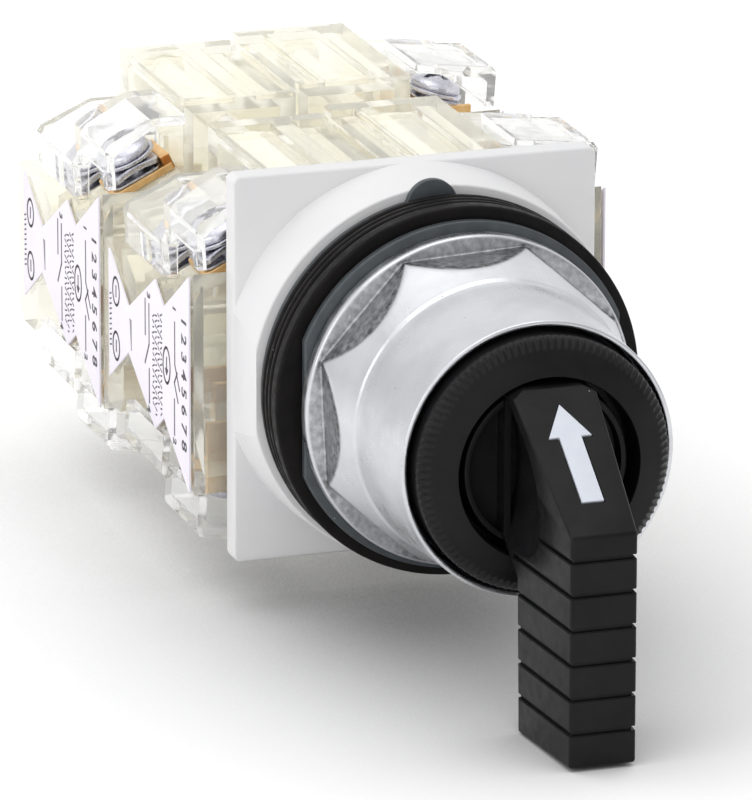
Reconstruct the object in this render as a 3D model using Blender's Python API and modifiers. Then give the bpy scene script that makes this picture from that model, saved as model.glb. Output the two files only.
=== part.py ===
"""Panel selector switch: a 30 mm operator with a long lever that works four clear contact blocks.

The operator's axis is Y. The lever faces -Y, the contact blocks lie behind the panel at +Y, and +Z is up.
The origin is on the axis, in the front face of the square base flange.
"""

import math

import bmesh
import bpy
from mathutils import Matrix, Vector

MM = 0.001

# Clearance between pieces that rest on each other
GAP = 0.3 * MM

# Base flange: a square plate with a round drum in front, cut flush with the plate's sides
PLATE_WIDTH = 43.2 * MM
PLATE_HEIGHT = 44.4 * MM
PLATE_THICKNESS = 3.0 * MM
PLATE_CORNER = 1.6 * MM
DRUM_ROOT_RADIUS = 22.7 * MM
DRUM_FRONT_RADIUS = 22.2 * MM
DRUM_LENGTH = 8.3 * MM

# Threaded bushing that passes through the panel
BUSHING_RADIUS = 14.85 * MM
BUSHING_LENGTH = 38.0 * MM
BUSHING_SHOULDER = 1.05 * MM
BUSHING_SHOULDER_LENGTH = 2.3 * MM
BUSHING_WEB = 23.0 * MM
BUSHING_WALL = 3.4 * MM
THREAD_CHAMFER = 0.6 * MM

# Washers and gaskets on the bushing
LOCATING_WASHER_THICKNESS = 0.9 * MM
LOCATING_WASHER_RADIUS = 21.2 * MM
NIB_WIDTH = 6.0 * MM
NIB_HEIGHT = 23.3 * MM
NIB_TURN = math.radians(-3.4)
GASKET_RADIUS = 21.55 * MM
THIN_GASKETS = 3
THIN_GASKET_THICKNESS = 0.85 * MM
THICK_GASKET_THICKNESS = 2.0 * MM
TRIM_WASHER_RADIUS = 20.2 * MM
TRIM_WASHER_THICKNESS = 1.2 * MM
TRIM_WASHER_ACROSS_FLATS = 37.2 * MM

# Ring nut: a round flange, an octagon under a chamfer cone, and a long smooth barrel
NUT_FLANGE_RADIUS = 19.2 * MM
NUT_FLANGE_THICKNESS = 2.2 * MM
NUT_ACROSS_FLATS = 34.4 * MM
NUT_FLATS = 8
NUT_TURN = math.radians(2.8)
NUT_CONE_RADIUS = 18.9 * MM
NUT_CONE_LENGTH = 8.0 * MM
BARREL_ROOT_RADIUS = 16.5 * MM
BARREL_RIM_RADIUS = 15.75 * MM
NUT_LENGTH = 25.0 * MM
RIM_ROUNDING = 0.25 * MM

# Knurled collar in front of the bushing
COLLAR_RADIUS = 14.55 * MM
COLLAR_LENGTH = 7.6 * MM
COLLAR_BEVEL_RADIUS = 13.4 * MM
COLLAR_BEVEL_DEPTH = 1.35 * MM
COLLAR_CROWN = 0.9 * MM
COLLAR_BORE_RADIUS = 10.4 * MM
COLLAR_LIP_RADIUS = 9.8 * MM
COLLAR_LIP_THICKNESS = 3.0 * MM
KNURLS = 48
KNURL_DEPTH = 0.45 * MM

# Knob: a disc with a rim, a bar across it, a sloping wedge and the lever
DISC_RADIUS = 9.4 * MM
DISC_RIM_WIDTH = 0.7 * MM
DISC_RIM_Y = -44.6 * MM
DISC_FLOOR_Y = -42.8 * MM
HUB_LENGTH = 9.0 * MM
SKIRT_RADIUS = 10.3 * MM
BAR_HALF_WIDTH = 5.0 * MM
BAR_FRONT_Y = -45.2 * MM
WEDGE_TOP_Y = -48.0 * MM
WEDGE_TOP_Z = 8.6 * MM
LEVER_FRONT_Y = -63.65 * MM
LEVER_SHOULDER_Z = -2.15 * MM
LEVER_TIP_Z = -28.3 * MM
LEVER_BACK_Y = -48.8 * MM
LEVER_HEEL_Z = -11.0 * MM
LEVER_FRONT_WIDTH = 7.6 * MM
LEVER_EDGE = 0.3 * MM
GRIP_GROOVES = 6
GRIP_FIRST_Z = -4.85 * MM
GRIP_PITCH = 3.9 * MM
GRIP_WIDTH = 0.55 * MM
GRIP_DEPTH = 0.4 * MM
SCOOP_DEPTH = 1.4 * MM
SCOOP_LENGTH = 25.0 * MM
SCOOP_WIDTH = 13.0 * MM

# Arrow set into the sloping face
ARROW_START = 0.8 * MM
ARROW_LENGTH = 13.5 * MM
ARROW_HEAD = 4.5 * MM
ARROW_HEAD_WIDTH = 4.9 * MM
ARROW_SHAFT_WIDTH = 2.5 * MM
ARROW_THICKNESS = 0.45 * MM
ARROW_PROUD = 0.15 * MM

# Shaft with the tilted cam disc that works the push rods
SHAFT_RADIUS = 5.0 * MM
SHAFT_SQUARE = 6.4 * MM
SHAFT_SQUARE_LENGTH = 5.5 * MM
SHAFT_RUNNING_GAP = 0.3 * MM
CAM_RADIUS = 10.4 * MM
CAM_MIDDLE_Y = -2.0 * MM
CAM_FRONT_Y = -6.6 * MM
PUSH_RADIUS = 8.0 * MM
PUSH_TRAVEL = 2.0 * MM
LEVER_SWING = math.radians(45)
ROD_RADIUS = 1.4 * MM
ROD_TIP_RADIUS = 0.6 * MM
ROD_TIP_LENGTH = 1.2 * MM
GUIDE_PLATE_WIDTH = 40.0 * MM
GUIDE_PLATE_HEIGHT = 41.0 * MM
GUIDE_PLATE_THICKNESS = 2.4 * MM

# Long screws that hold the contact blocks to the base flange
SCREW_X = 8.5 * MM
SCREW_Z = 16.0 * MM
SCREW_RADIUS = 1.4 * MM
SCREW_HEAD_RADIUS = 2.7 * MM
SCREW_HEAD_HEIGHT = 2.0 * MM
SCREW_SLOT = 0.8 * MM
SCREW_BITE = 6.0 * MM

# Contact block, drawn as the front left one. Heights are from the middle of its side label
BLOCK_WIDTH = 24.5 * MM
BLOCK_DEPTH = 35.1 * MM
BLOCK_DROP = 3.1 * MM
BLOCK_WALL = 1.6 * MM
BLOCK_EDGE_HEIGHT = 13.1 * MM
BLOCK_NOTCH = (9.8 * MM, 6.9 * MM)
BLOCK_STEP = (13.3 * MM, 9.2 * MM)
BLOCK_WAIST = (23.7 * MM, 3.0 * MM)
BLOCK_TAIL = (31.4 * MM, 8.0 * MM)

# Tower in the middle of the block, with a sunk window on each end
TOWER_WIDTH = 14.0 * MM
TOWER_START = 2.0 * MM
TOWER_END = 27.8 * MM
TOWER_TOP = 22.9 * MM
TOWER_BOTTOM = 17.6 * MM
TOWER_ROOF = 1.9 * MM
WINDOW_ENDS = (3.5 * MM, 25.3 * MM)
WINDOW_DEPTH = 0.9 * MM

# Solid foot under the block's back
FOOT_START = 27.5 * MM
FOOT_HEIGHT = 11.6 * MM
FOOT_CHAMFER = 1.6 * MM
FOOT_INNER = 16.0 * MM

# Label on the block's side
LABEL_THICKNESS = 0.25 * MM
LABEL_MARGIN = 0.25 * MM

# Terminals: a blade with a brass strip, and a screw with its clamp plate
SEAT_OUTER = BLOCK_WIDTH - 1.9 * MM
SEAT_MIDDLE = (TOWER_WIDTH + SEAT_OUTER) / 2 - 0.4 * MM
STRIP_LENGTH = SEAT_OUTER - TOWER_WIDTH - 0.6 * MM
STRIP_WIDTH = 7.0 * MM
STRIP_THICKNESS = 0.9 * MM
CLAMP_SIZE = 7.0 * MM
CLAMP_THICKNESS = 1.0 * MM
CLAMP_LIFT = 0.9 * MM
TERMINAL_SHANK_RADIUS = 1.6 * MM
TERMINAL_HEAD_RADIUS = 3.2 * MM
TERMINAL_HEAD_HEIGHT = 2.2 * MM
TERMINAL_SLOT = 0.9 * MM
BLADE_THICKNESS = 0.9 * MM
BLADE_WIDTH = 2.0 * MM
BLADE_REACH = 6.6 * MM

# Contact carrier and its return spring
CARRIER_STEM = 4.0 * MM
CARRIER_START = PUSH_TRAVEL + 0.5 * MM
BRIDGE_HALF_LENGTH = 7.0 * MM
BRIDGE_WIDTH = 3.4 * MM
BRIDGE_THICKNESS = 1.0 * MM
BRIDGE_DEPTHS = (7.0 * MM, 19.8 * MM)
CARRIER_TAIL_RADIUS = 1.4 * MM
TAIL_CLEARANCE = 0.4 * MM
SPRING_SEAT_SIZE = 6.4 * MM
SPRING_SEAT_THICKNESS = 0.6 * MM
SPRING_RADIUS = 2.5 * MM
SPRING_WIRE = 0.3 * MM
SPRING_TURNS = 3

# Hoods over the terminals
HOOD_INNER = TOWER_WIDTH + GAP
HOOD_THICKNESS = 1.1 * MM
HOOD_INSET = 0.4 * MM
HOOD_OUTER = BLOCK_WIDTH - HOOD_INSET
HOOD_SHIFT = 0.5 * MM
HOOD_LEAN = 0.3 * MM
HOOD_SPLIT = 12.9 * MM
HOOD_LENGTH = 27.0 * MM
LEG_WIDTH = 1.8 * MM
ENTRY_WIDTH = 8.6 * MM
ENTRY_DROP = 3.6 * MM
SLIT_WIDTH = 1.0 * MM
SLIT_PITCH = 3.4 * MM
SLIT_DROP = 1.8 * MM
DIVIDER_REACH = 3.0 * MM
CORNER_CUT = 3.8 * MM
CORNER_STARTS = (10.6 * MM, 24.2 * MM)
CORNER_ENDS = (12.95 * MM, 27.2 * MM)
CORNER_RISE = 2.9 * MM

# The two ends of a block differ: heights of each tier's seat and hood, how far the terminals tilt,
# and where the sunk windows lie across the tower's end
TIERS = {
    "top": {
        "sign": 1,
        "tilt": math.radians(26.0),
        "seats": (12.7 * MM, 8.8 * MM),
        "corners": (18.8 * MM, 14.4 * MM),
        "ridges": (21.7 * MM, 17.3 * MM),
        "ridge_at": 18.0 * MM,
        "arms": (9.4 * MM, 6.6 * MM),
        "windows": ((-1.0 * MM, 4.7 * MM), (7.2 * MM, 13.5 * MM)),
    },
    "bottom": {
        "sign": -1,
        "tilt": math.radians(16.0),
        "seats": (11.1 * MM, 7.2 * MM),
        "corners": (18.1 * MM, 14.6 * MM),
        "ridges": (19.3 * MM, 15.7 * MM),
        "ridge_at": 15.0 * MM,
        "arms": (3.2 * MM, 3.2 * MM),
        "windows": ((-1.0 * MM, 3.0 * MM), (3.8 * MM, 10.0 * MM)),
    },
}
TIER_MIDDLES = (7.4 * MM, 20.6 * MM)
BLADE_DEPTHS = (10.3 * MM, 16.4 * MM)

STEPS = 32
FINE_STEPS = 40
SMALL_STEPS = 12

# Places along the axis, worked out from the thicknesses
DRUM_FRONT_Y = -DRUM_LENGTH
LOCATING_WASHER_Y = DRUM_FRONT_Y - GAP
FIRST_GASKET_Y = LOCATING_WASHER_Y - LOCATING_WASHER_THICKNESS - GAP
THICK_GASKET_Y = FIRST_GASKET_Y - THIN_GASKETS * (THIN_GASKET_THICKNESS + GAP)
TRIM_WASHER_Y = THICK_GASKET_Y - THICK_GASKET_THICKNESS - GAP
NUT_Y = TRIM_WASHER_Y - TRIM_WASHER_THICKNESS - GAP
NUT_RIM_Y = NUT_Y - NUT_LENGTH
BORE_RADIUS = BUSHING_RADIUS + GAP
COLLAR_Y = -BUSHING_LENGTH - GAP
COLLAR_FRONT_Y = COLLAR_Y - COLLAR_LENGTH
GUIDE_PLATE_Y = PLATE_THICKNESS + GAP
BLOCK_FRONT_Y = GUIDE_PLATE_Y + GUIDE_PLATE_THICKNESS + GAP
BLOCK_PITCH = BLOCK_DEPTH + GAP
CAM_SLOPE = PUSH_TRAVEL / (PUSH_RADIUS * math.sin(LEVER_SWING))
PLUNGER_HEIGHT = BLOCK_DROP


def clear_scene():
    for obj in list(bpy.data.objects):
        bpy.data.objects.remove(obj)
    for collection in list(bpy.data.collections):
        bpy.data.collections.remove(collection)


def make_material(name, colour, roughness, metallic=0.0):
    material = bpy.data.materials.new(name)
    material.use_nodes = True
    shader = material.node_tree.nodes["Principled BSDF"]
    shader.inputs["Base Color"].default_value = (*colour, 1.0)
    shader.inputs["Roughness"].default_value = roughness
    shader.inputs["Metallic"].default_value = metallic
    material.diffuse_color = (*colour, 1.0)
    return material


def link(obj):
    bpy.context.scene.collection.objects.link(obj)
    return obj


def from_bmesh(name, bm):
    """A new object from a bmesh, with its faces turned outward."""
    bmesh.ops.recalc_face_normals(bm, faces=bm.faces)
    mesh = bpy.data.meshes.new(name)
    bm.to_mesh(mesh)
    bm.free()
    return link(bpy.data.objects.new(name, mesh))


def bake(obj):
    """Replaces the object's mesh with its evaluated one, in world space."""
    graph = bpy.context.evaluated_depsgraph_get()
    mesh = bpy.data.meshes.new_from_object(obj.evaluated_get(graph))
    mesh.transform(obj.matrix_world)
    name = obj.name
    bpy.data.objects.remove(obj)
    return link(bpy.data.objects.new(name, mesh))


def boolean(obj, tool, operation):
    modifier = obj.modifiers.new(operation.title(), "BOOLEAN")
    modifier.operation = operation
    modifier.object = tool
    bpy.context.view_layer.update()
    result = bake(obj)
    bpy.data.objects.remove(tool)
    return result


def cut(obj, tool):
    return boolean(obj, tool, "DIFFERENCE")


def join(obj, tool):
    return boolean(obj, tool, "UNION")


def keep_inside(obj, tool):
    return boolean(obj, tool, "INTERSECT")


def box(name, low, high):
    """A box between two corners."""
    bm = bmesh.new()
    bmesh.ops.create_cube(bm, size=1.0)
    low, high = Vector(low), Vector(high)
    size = high - low
    bmesh.ops.scale(bm, vec=size, verts=bm.verts)
    bmesh.ops.translate(bm, vec=(low + high) / 2, verts=bm.verts)
    return from_bmesh(name, bm)


def rod(name, x, z, radius, y_front, y_back, segments=SMALL_STEPS):
    """A cylinder along the Y axis."""
    bm = bmesh.new()
    bmesh.ops.create_cone(
        bm, cap_ends=True, segments=segments, radius1=radius, radius2=radius, depth=y_back - y_front
    )
    bmesh.ops.rotate(bm, matrix=Matrix.Rotation(math.pi / 2, 3, "X"), verts=bm.verts)
    bmesh.ops.translate(bm, vec=(x, (y_front + y_back) / 2, z), verts=bm.verts)
    return from_bmesh(name, bm)


def turned(name, profile, steps=STEPS):
    """A solid of revolution about the Y axis, from a closed or axis-to-axis list of (radius, y)."""
    on_axis = profile[0][0] == 0 and profile[-1][0] == 0
    bm = bmesh.new()
    points = [bm.verts.new((radius, y, 0.0)) for radius, y in profile]
    for start, end in zip(points, points[1:]):
        bm.edges.new((start, end))
    if not on_axis:
        bm.edges.new((points[-1], points[0]))
    mesh = bpy.data.meshes.new(name)
    bm.to_mesh(mesh)
    bm.free()
    obj = link(bpy.data.objects.new(name, mesh))
    screw = obj.modifiers.new("Turn", "SCREW")
    screw.axis = "Y"
    screw.angle = math.tau
    screw.steps = steps
    screw.render_steps = steps
    screw.use_merge_vertices = True
    screw.merge_threshold = 0.00001
    screw.use_normal_calculate = True
    bpy.context.view_layer.update()
    return tidy(bake(obj))


def tidy(obj):
    """Welds doubled points and turns the faces outward."""
    bm = bmesh.new()
    bm.from_mesh(obj.data)
    bmesh.ops.remove_doubles(bm, verts=bm.verts, dist=0.000001)
    bmesh.ops.recalc_face_normals(bm, faces=bm.faces)
    bm.to_mesh(obj.data)
    bm.free()
    return obj


def prism(name, outline, low, high, axis):
    """A flat outline extruded along X or Y. Its points are (y, z) along X, and (x, z) along Y."""
    curve = bpy.data.curves.new(name, "CURVE")
    curve.dimensions = "2D"
    curve.fill_mode = "BOTH"
    curve.extrude = (high - low) / 2
    spline = curve.splines.new("POLY")
    spline.points.add(len(outline) - 1)
    for point, (across, up) in zip(spline.points, outline):
        point.co = (across, up, 0.0, 1.0)
    spline.use_cyclic_u = True
    obj = link(bpy.data.objects.new(name, curve))
    middle = (low + high) / 2
    if axis == "X":
        obj.matrix_world = Matrix(((0, 0, 1, middle), (1, 0, 0, 0), (0, 1, 0, 0), (0, 0, 0, 1)))
    else:
        obj.matrix_world = Matrix(((1, 0, 0, 0), (0, 0, -1, middle), (0, 1, 0, 0), (0, 0, 0, 1)))
    bpy.context.view_layer.update()
    return tidy(bake(obj))


def finish(obj, material, smooth_degrees=30.0):
    """Gives the piece triangles, its material and smooth round faces."""
    bm = bmesh.new()
    bm.from_mesh(obj.data)
    bmesh.ops.dissolve_degenerate(bm, dist=0.000001, edges=bm.edges)
    bmesh.ops.triangulate(bm, faces=bm.faces)
    bm.to_mesh(obj.data)
    bm.free()
    obj.data.materials.clear()
    obj.data.materials.append(material)
    obj.data.shade_smooth()
    obj.data.set_sharp_from_angle(angle=math.radians(smooth_degrees))
    return obj


def set_origin(obj, point):
    """Moves the object's origin to a point without moving its shape."""
    obj.data.transform(Matrix.Translation(-Vector(point)))
    obj.location = point
    return obj


def arc(centre, radius, start, end, count):
    """Points on an arc, both ends included. Angles are in radians."""
    points = []
    for index in range(count + 1):
        angle = start + (end - start) * index / count
        points.append((centre[0] + radius * math.cos(angle), centre[1] + radius * math.sin(angle)))
    return points


def rounded_rectangle(width, height, corner, count=4):
    points = []
    for turn in range(4):
        start = turn * math.pi / 2
        side_x = 1 if turn in (0, 3) else -1
        side_z = 1 if turn in (0, 1) else -1
        centre = (side_x * (width / 2 - corner), side_z * (height / 2 - corner))
        points.extend(arc(centre, corner, start, start + math.pi / 2, count))
    return points


def ring_profile(inner, outer, y_back, y_front, chamfer=0.0):
    """A washer's section, from its back face to its front face."""
    if chamfer == 0:
        return [(outer, y_back), (outer, y_front), (inner, y_front), (inner, y_back)]
    return [
        (outer - chamfer, y_back),
        (outer, y_back - chamfer),
        (outer, y_front + chamfer),
        (outer - chamfer, y_front),
        (inner, y_front),
        (inner, y_back),
    ]


def make_base_flange(material):
    plate = prism(
        "base_flange",
        rounded_rectangle(PLATE_WIDTH, PLATE_HEIGHT, PLATE_CORNER),
        0.0,
        PLATE_THICKNESS,
        "Y",
    )
    edge = 0.4 * MM
    drum = turned(
        "drum",
        [
            (0, PLATE_THICKNESS / 2),
            (DRUM_ROOT_RADIUS, PLATE_THICKNESS / 2),
            (DRUM_ROOT_RADIUS, 0),
            (DRUM_FRONT_RADIUS, DRUM_FRONT_Y + edge),
            (DRUM_FRONT_RADIUS - edge, DRUM_FRONT_Y),
            (0, DRUM_FRONT_Y),
        ],
        FINE_STEPS,
    )
    half = PLATE_WIDTH / 2
    sides = box("sides", (-half, -DRUM_LENGTH * 2, -half * 2), (half, PLATE_THICKNESS * 2, half * 2))
    drum = keep_inside(drum, sides)
    flange = join(plate, drum)
    shoulder_radius = BUSHING_RADIUS + BUSHING_SHOULDER + GAP
    bore = turned(
        "bore",
        [
            (0, PLATE_THICKNESS * 2),
            (shoulder_radius, PLATE_THICKNESS * 2),
            (shoulder_radius, 0),
            (BORE_RADIUS, 0),
            (BORE_RADIUS, DRUM_FRONT_Y * 2),
            (0, DRUM_FRONT_Y * 2),
        ],
    )
    flange = cut(flange, bore)
    for x in (-SCREW_X, SCREW_X):
        for z in (-SCREW_Z, SCREW_Z):
            hole = rod("hole", x, z, SCREW_RADIUS + GAP, -SCREW_BITE - GAP, PLATE_THICKNESS * 2)
            flange = cut(flange, hole)
    return finish(flange, material)


def make_bushing(material):
    front = -BUSHING_LENGTH
    shoulder_back = GAP + BUSHING_SHOULDER_LENGTH
    cavity = CAM_RADIUS + 0.6 * MM
    knob_room = SKIRT_RADIUS + GAP
    web_front = CAM_FRONT_Y - GAP - BUSHING_WEB
    shaft_bore = SHAFT_RADIUS + SHAFT_RUNNING_GAP
    profile = [
        (BUSHING_RADIUS + BUSHING_SHOULDER, shoulder_back),
        (BUSHING_RADIUS + BUSHING_SHOULDER, GAP),
        (BUSHING_RADIUS, GAP),
        (BUSHING_RADIUS, front + THREAD_CHAMFER),
        (BUSHING_RADIUS - THREAD_CHAMFER, front),
        (knob_room, front),
        (knob_room, web_front),
        (shaft_bore, web_front),
        (shaft_bore, CAM_FRONT_Y - GAP),
        (cavity, CAM_FRONT_Y - GAP),
        (cavity, shoulder_back),
    ]
    return finish(turned("threaded_bushing", profile), material)


def make_locating_washer(material):
    back = LOCATING_WASHER_Y
    front = back - LOCATING_WASHER_THICKNESS
    washer = turned(
        "locating_washer", ring_profile(BORE_RADIUS, LOCATING_WASHER_RADIUS, back, front)
    )
    half = NIB_WIDTH / 2
    root = LOCATING_WASHER_RADIUS - 1.5 * MM
    top = NIB_HEIGHT
    outline = [(-half, root), (half, root), (half, top - half * 0.6)]
    outline += arc((0, top - half), half, math.radians(24), math.radians(156), 6)
    outline.append((-half, top - half * 0.6))
    nib = prism("nib", outline, front, back, "Y")
    nib.data.transform(Matrix.Rotation(NIB_TURN, 4, "Y"))
    return finish(join(washer, nib), material)


def make_gaskets(material):
    made = []
    for index in range(THIN_GASKETS):
        back = FIRST_GASKET_Y - index * (THIN_GASKET_THICKNESS + GAP)
        front = back - THIN_GASKET_THICKNESS
        profile = ring_profile(BORE_RADIUS, GASKET_RADIUS, back, front)
        made.append(finish(turned(f"thin_gasket_{index + 1}", profile), material))
    back = THICK_GASKET_Y
    front = back - THICK_GASKET_THICKNESS
    profile = ring_profile(BORE_RADIUS, GASKET_RADIUS, back, front, 0.25 * MM)
    made.append(finish(turned("thick_gasket", profile), material))
    return made


def make_trim_washer(material):
    back = TRIM_WASHER_Y
    front = back - TRIM_WASHER_THICKNESS
    profile = ring_profile(BORE_RADIUS, TRIM_WASHER_RADIUS, back, front, 0.2 * MM)
    washer = turned("trim_washer", profile)
    half = TRIM_WASHER_ACROSS_FLATS / 2
    reach = TRIM_WASHER_RADIUS * 1.5
    flats = box("flats", (-half, front * 1.5, -reach), (half, back / 2, reach))
    return finish(keep_inside(washer, flats), material)


def make_ring_nut(material):
    flange_front = NUT_Y - NUT_FLANGE_THICKNESS
    cone_front = flange_front - NUT_CONE_LENGTH
    edge = 0.3 * MM
    nut = turned(
        "ring_nut",
        [
            (NUT_FLANGE_RADIUS, NUT_Y),
            (NUT_FLANGE_RADIUS, flange_front + edge),
            (NUT_CONE_RADIUS, flange_front),
            (BARREL_ROOT_RADIUS, cone_front),
            (BARREL_RIM_RADIUS, NUT_RIM_Y + RIM_ROUNDING),
            (BARREL_RIM_RADIUS - RIM_ROUNDING, NUT_RIM_Y),
            (BORE_RADIUS, NUT_RIM_Y),
            (BORE_RADIUS, NUT_Y),
        ],
        FINE_STEPS,
    )
    # The flats come from a ring with an octagonal hole
    apothem = NUT_ACROSS_FLATS / 2
    corner_radius = apothem / math.cos(math.pi / NUT_FLATS)
    start = math.pi / NUT_FLATS + NUT_TURN
    corners = arc((0, 0), corner_radius, start, start + math.tau, NUT_FLATS)[:-1]
    octagon = prism("octagon", corners, cone_front, flange_front * 0.9, "Y")
    outer = NUT_FLANGE_RADIUS * 1.3
    flats = turned(
        "flats",
        [
            (0, flange_front),
            (outer, flange_front),
            (outer, cone_front + edge),
            (0, cone_front + edge),
        ],
    )
    flats = cut(flats, octagon)
    return finish(cut(nut, flats), material, 25.0)


def make_collar(material):
    bevel_back = COLLAR_FRONT_Y + COLLAR_CROWN + COLLAR_BEVEL_DEPTH
    bevel_front = COLLAR_FRONT_Y + COLLAR_CROWN
    collar = turned(
        "knurled_collar",
        [
            (COLLAR_RADIUS, COLLAR_Y),
            (COLLAR_RADIUS, bevel_back),
            (COLLAR_BEVEL_RADIUS, bevel_front),
            (COLLAR_BORE_RADIUS, COLLAR_FRONT_Y),
            (COLLAR_BORE_RADIUS, COLLAR_Y - COLLAR_LIP_THICKNESS),
            (COLLAR_LIP_RADIUS, COLLAR_Y - COLLAR_LIP_THICKNESS),
            (COLLAR_LIP_RADIUS, COLLAR_Y),
        ],
        KNURLS,
    )
    # One wedge for each knurl, laid along the bevel
    slope = Vector((COLLAR_RADIUS - COLLAR_BEVEL_RADIUS, COLLAR_BEVEL_DEPTH, 0.0))
    outward = Vector((slope.y, -slope.x, 0.0)).normalized()
    middle = Vector((COLLAR_RADIUS + COLLAR_BEVEL_RADIUS, bevel_back + bevel_front, 0.0)) / 2
    along = slope * 0.62
    width = math.tau * COLLAR_RADIUS / KNURLS * 0.42
    bm = bmesh.new()
    for index in range(KNURLS):
        turn = Matrix.Rotation(math.tau * (index + 0.5) / KNURLS, 3, "Y")
        ends = []
        for end in (middle - along, middle + along):
            corners = (
                end - outward * KNURL_DEPTH,
                end + outward * KNURL_DEPTH + Vector((0, 0, width * 2)),
                end + outward * KNURL_DEPTH - Vector((0, 0, width * 2)),
            )
            ends.append([bm.verts.new(turn @ corner) for corner in corners])
        bm.faces.new(ends[0])
        bm.faces.new(reversed(ends[1]))
        for first in range(3):
            second = (first + 1) % 3
            bm.faces.new((ends[0][first], ends[1][first], ends[1][second], ends[0][second]))
    return finish(cut(collar, from_bmesh("knurls", bm)), material, 20.0)


def slope_frame():
    """The sloping face's frame: its start, the way down along it, and its outward normal."""
    start = Vector((0.0, WEDGE_TOP_Y, WEDGE_TOP_Z))
    end = Vector((0.0, LEVER_FRONT_Y, LEVER_SHOULDER_Z))
    down = (end - start).normalized()
    normal = Vector((0.0, down.z, -down.y))
    return start, down, normal


def lever_half_width(y):
    """The lever narrows evenly from the bar to its front face."""
    share = (y - LEVER_FRONT_Y) / (BAR_FRONT_Y - LEVER_FRONT_Y)
    return LEVER_FRONT_WIDTH / 2 + share * (BAR_HALF_WIDTH - LEVER_FRONT_WIDTH / 2)


def make_lever_body():
    """The bar, wedge and lever in one side outline, narrowed toward the front."""
    bar_top = math.sqrt(DISC_RADIUS**2 - BAR_HALF_WIDTH**2)
    outline = [
        (DISC_FLOOR_Y + 1.0 * MM, bar_top),
        (BAR_FRONT_Y, bar_top),
        (WEDGE_TOP_Y, WEDGE_TOP_Z),
        (LEVER_FRONT_Y, LEVER_SHOULDER_Z),
        (LEVER_FRONT_Y, LEVER_TIP_Z),
        (LEVER_BACK_Y - 0.5 * MM, LEVER_TIP_Z - 0.3 * MM),
        (LEVER_BACK_Y, LEVER_HEEL_Z),
        (BAR_FRONT_Y, -bar_top),
        (DISC_FLOOR_Y + 1.0 * MM, -bar_top),
    ]
    body = prism("lever_body", outline, -BAR_HALF_WIDTH, BAR_HALF_WIDTH, "X")
    for vertex in body.data.vertices:
        if vertex.co.y < BAR_FRONT_Y:
            vertex.co.x = math.copysign(lever_half_width(vertex.co.y), vertex.co.x)
    bevel = body.modifiers.new("Edges", "BEVEL")
    bevel.width = LEVER_EDGE
    bevel.segments = 1
    bevel.limit_method = "ANGLE"
    bevel.angle_limit = math.radians(40)
    bpy.context.view_layer.update()
    return bake(body)


def cut_scoops(body):
    """A long shallow hollow in each side of the wedge."""
    start, down, normal = slope_frame()
    for side in (-1, 1):
        bm = bmesh.new()
        bmesh.ops.create_uvsphere(bm, u_segments=16, v_segments=8, radius=1.0)
        bmesh.ops.scale(
            bm, vec=(SCOOP_DEPTH * 1.9, SCOOP_LENGTH / 2, SCOOP_WIDTH / 2), verts=bm.verts
        )
        lean = math.atan2(-down.z, -down.y)
        bmesh.ops.rotate(bm, matrix=Matrix.Rotation(lean, 3, "X"), verts=bm.verts)
        centre = start + down * (2.5 * MM) - normal * (SCOOP_WIDTH / 2 + 0.3 * MM)
        centre.x = side * (lever_half_width(centre.y) + SCOOP_DEPTH * 0.9)
        bmesh.ops.translate(bm, vec=centre, verts=bm.verts)
        scoop = from_bmesh("scoop", bm)
        reach = SCOOP_LENGTH
        front = box("front", (-reach, LEVER_FRONT_Y, -reach), (reach, BAR_FRONT_Y, reach))
        body = cut(body, keep_inside(scoop, front))
    return body


def cut_grooves(body):
    """Grip grooves around the lever's front and sides."""
    back = LEVER_BACK_Y + 1.0 * MM
    front = LEVER_FRONT_Y
    outside = 2.0 * MM
    for index in range(GRIP_GROOVES):
        z = GRIP_FIRST_Z - index * GRIP_PITCH
        near = lever_half_width(front) - GRIP_DEPTH
        far = lever_half_width(back) - GRIP_DEPTH
        outline = [
            (-far - outside, back),
            (-near - outside, front - outside),
            (near + outside, front - outside),
            (far + outside, back),
            (far, back),
            (near, front + GRIP_DEPTH),
            (-near, front + GRIP_DEPTH),
            (-far, back),
        ]
        groove = prism("groove", outline, -GRIP_WIDTH / 2, GRIP_WIDTH / 2, "Y")
        groove.data.transform(Matrix.Rotation(-math.pi / 2, 4, "X"))
        groove.data.transform(Matrix.Translation((0, 0, z)))
        body = cut(body, tidy(groove))
    return body


def arrow_outline(margin=0.0):
    """Half-width and distance down the slope, as (x, s), with the outline grown by a margin."""
    head = ARROW_HEAD_WIDTH / 2 + margin
    shaft = ARROW_SHAFT_WIDTH / 2 + margin
    tip = ARROW_START - margin
    base = ARROW_START + ARROW_HEAD + margin
    end = ARROW_START + ARROW_LENGTH + margin
    return [
        (0.0, tip),
        (-head, base),
        (-shaft, base),
        (-shaft, end),
        (shaft, end),
        (shaft, base),
        (head, base),
    ]


def slope_prism(name, outline, low, high):
    """An outline on the sloping face, between two heights over it."""
    start, down, normal = slope_frame()
    plate = prism(name, outline, low, high, "Y")
    # The prism's Y is the height and its Z is the way down the slope
    place = Matrix.Identity(4)
    for row in range(3):
        place[row][0] = (1.0, 0.0, 0.0)[row]
        place[row][1] = normal[row]
        place[row][2] = down[row]
        place[row][3] = start[row]
    plate.data.transform(place)
    return tidy(plate)


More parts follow.
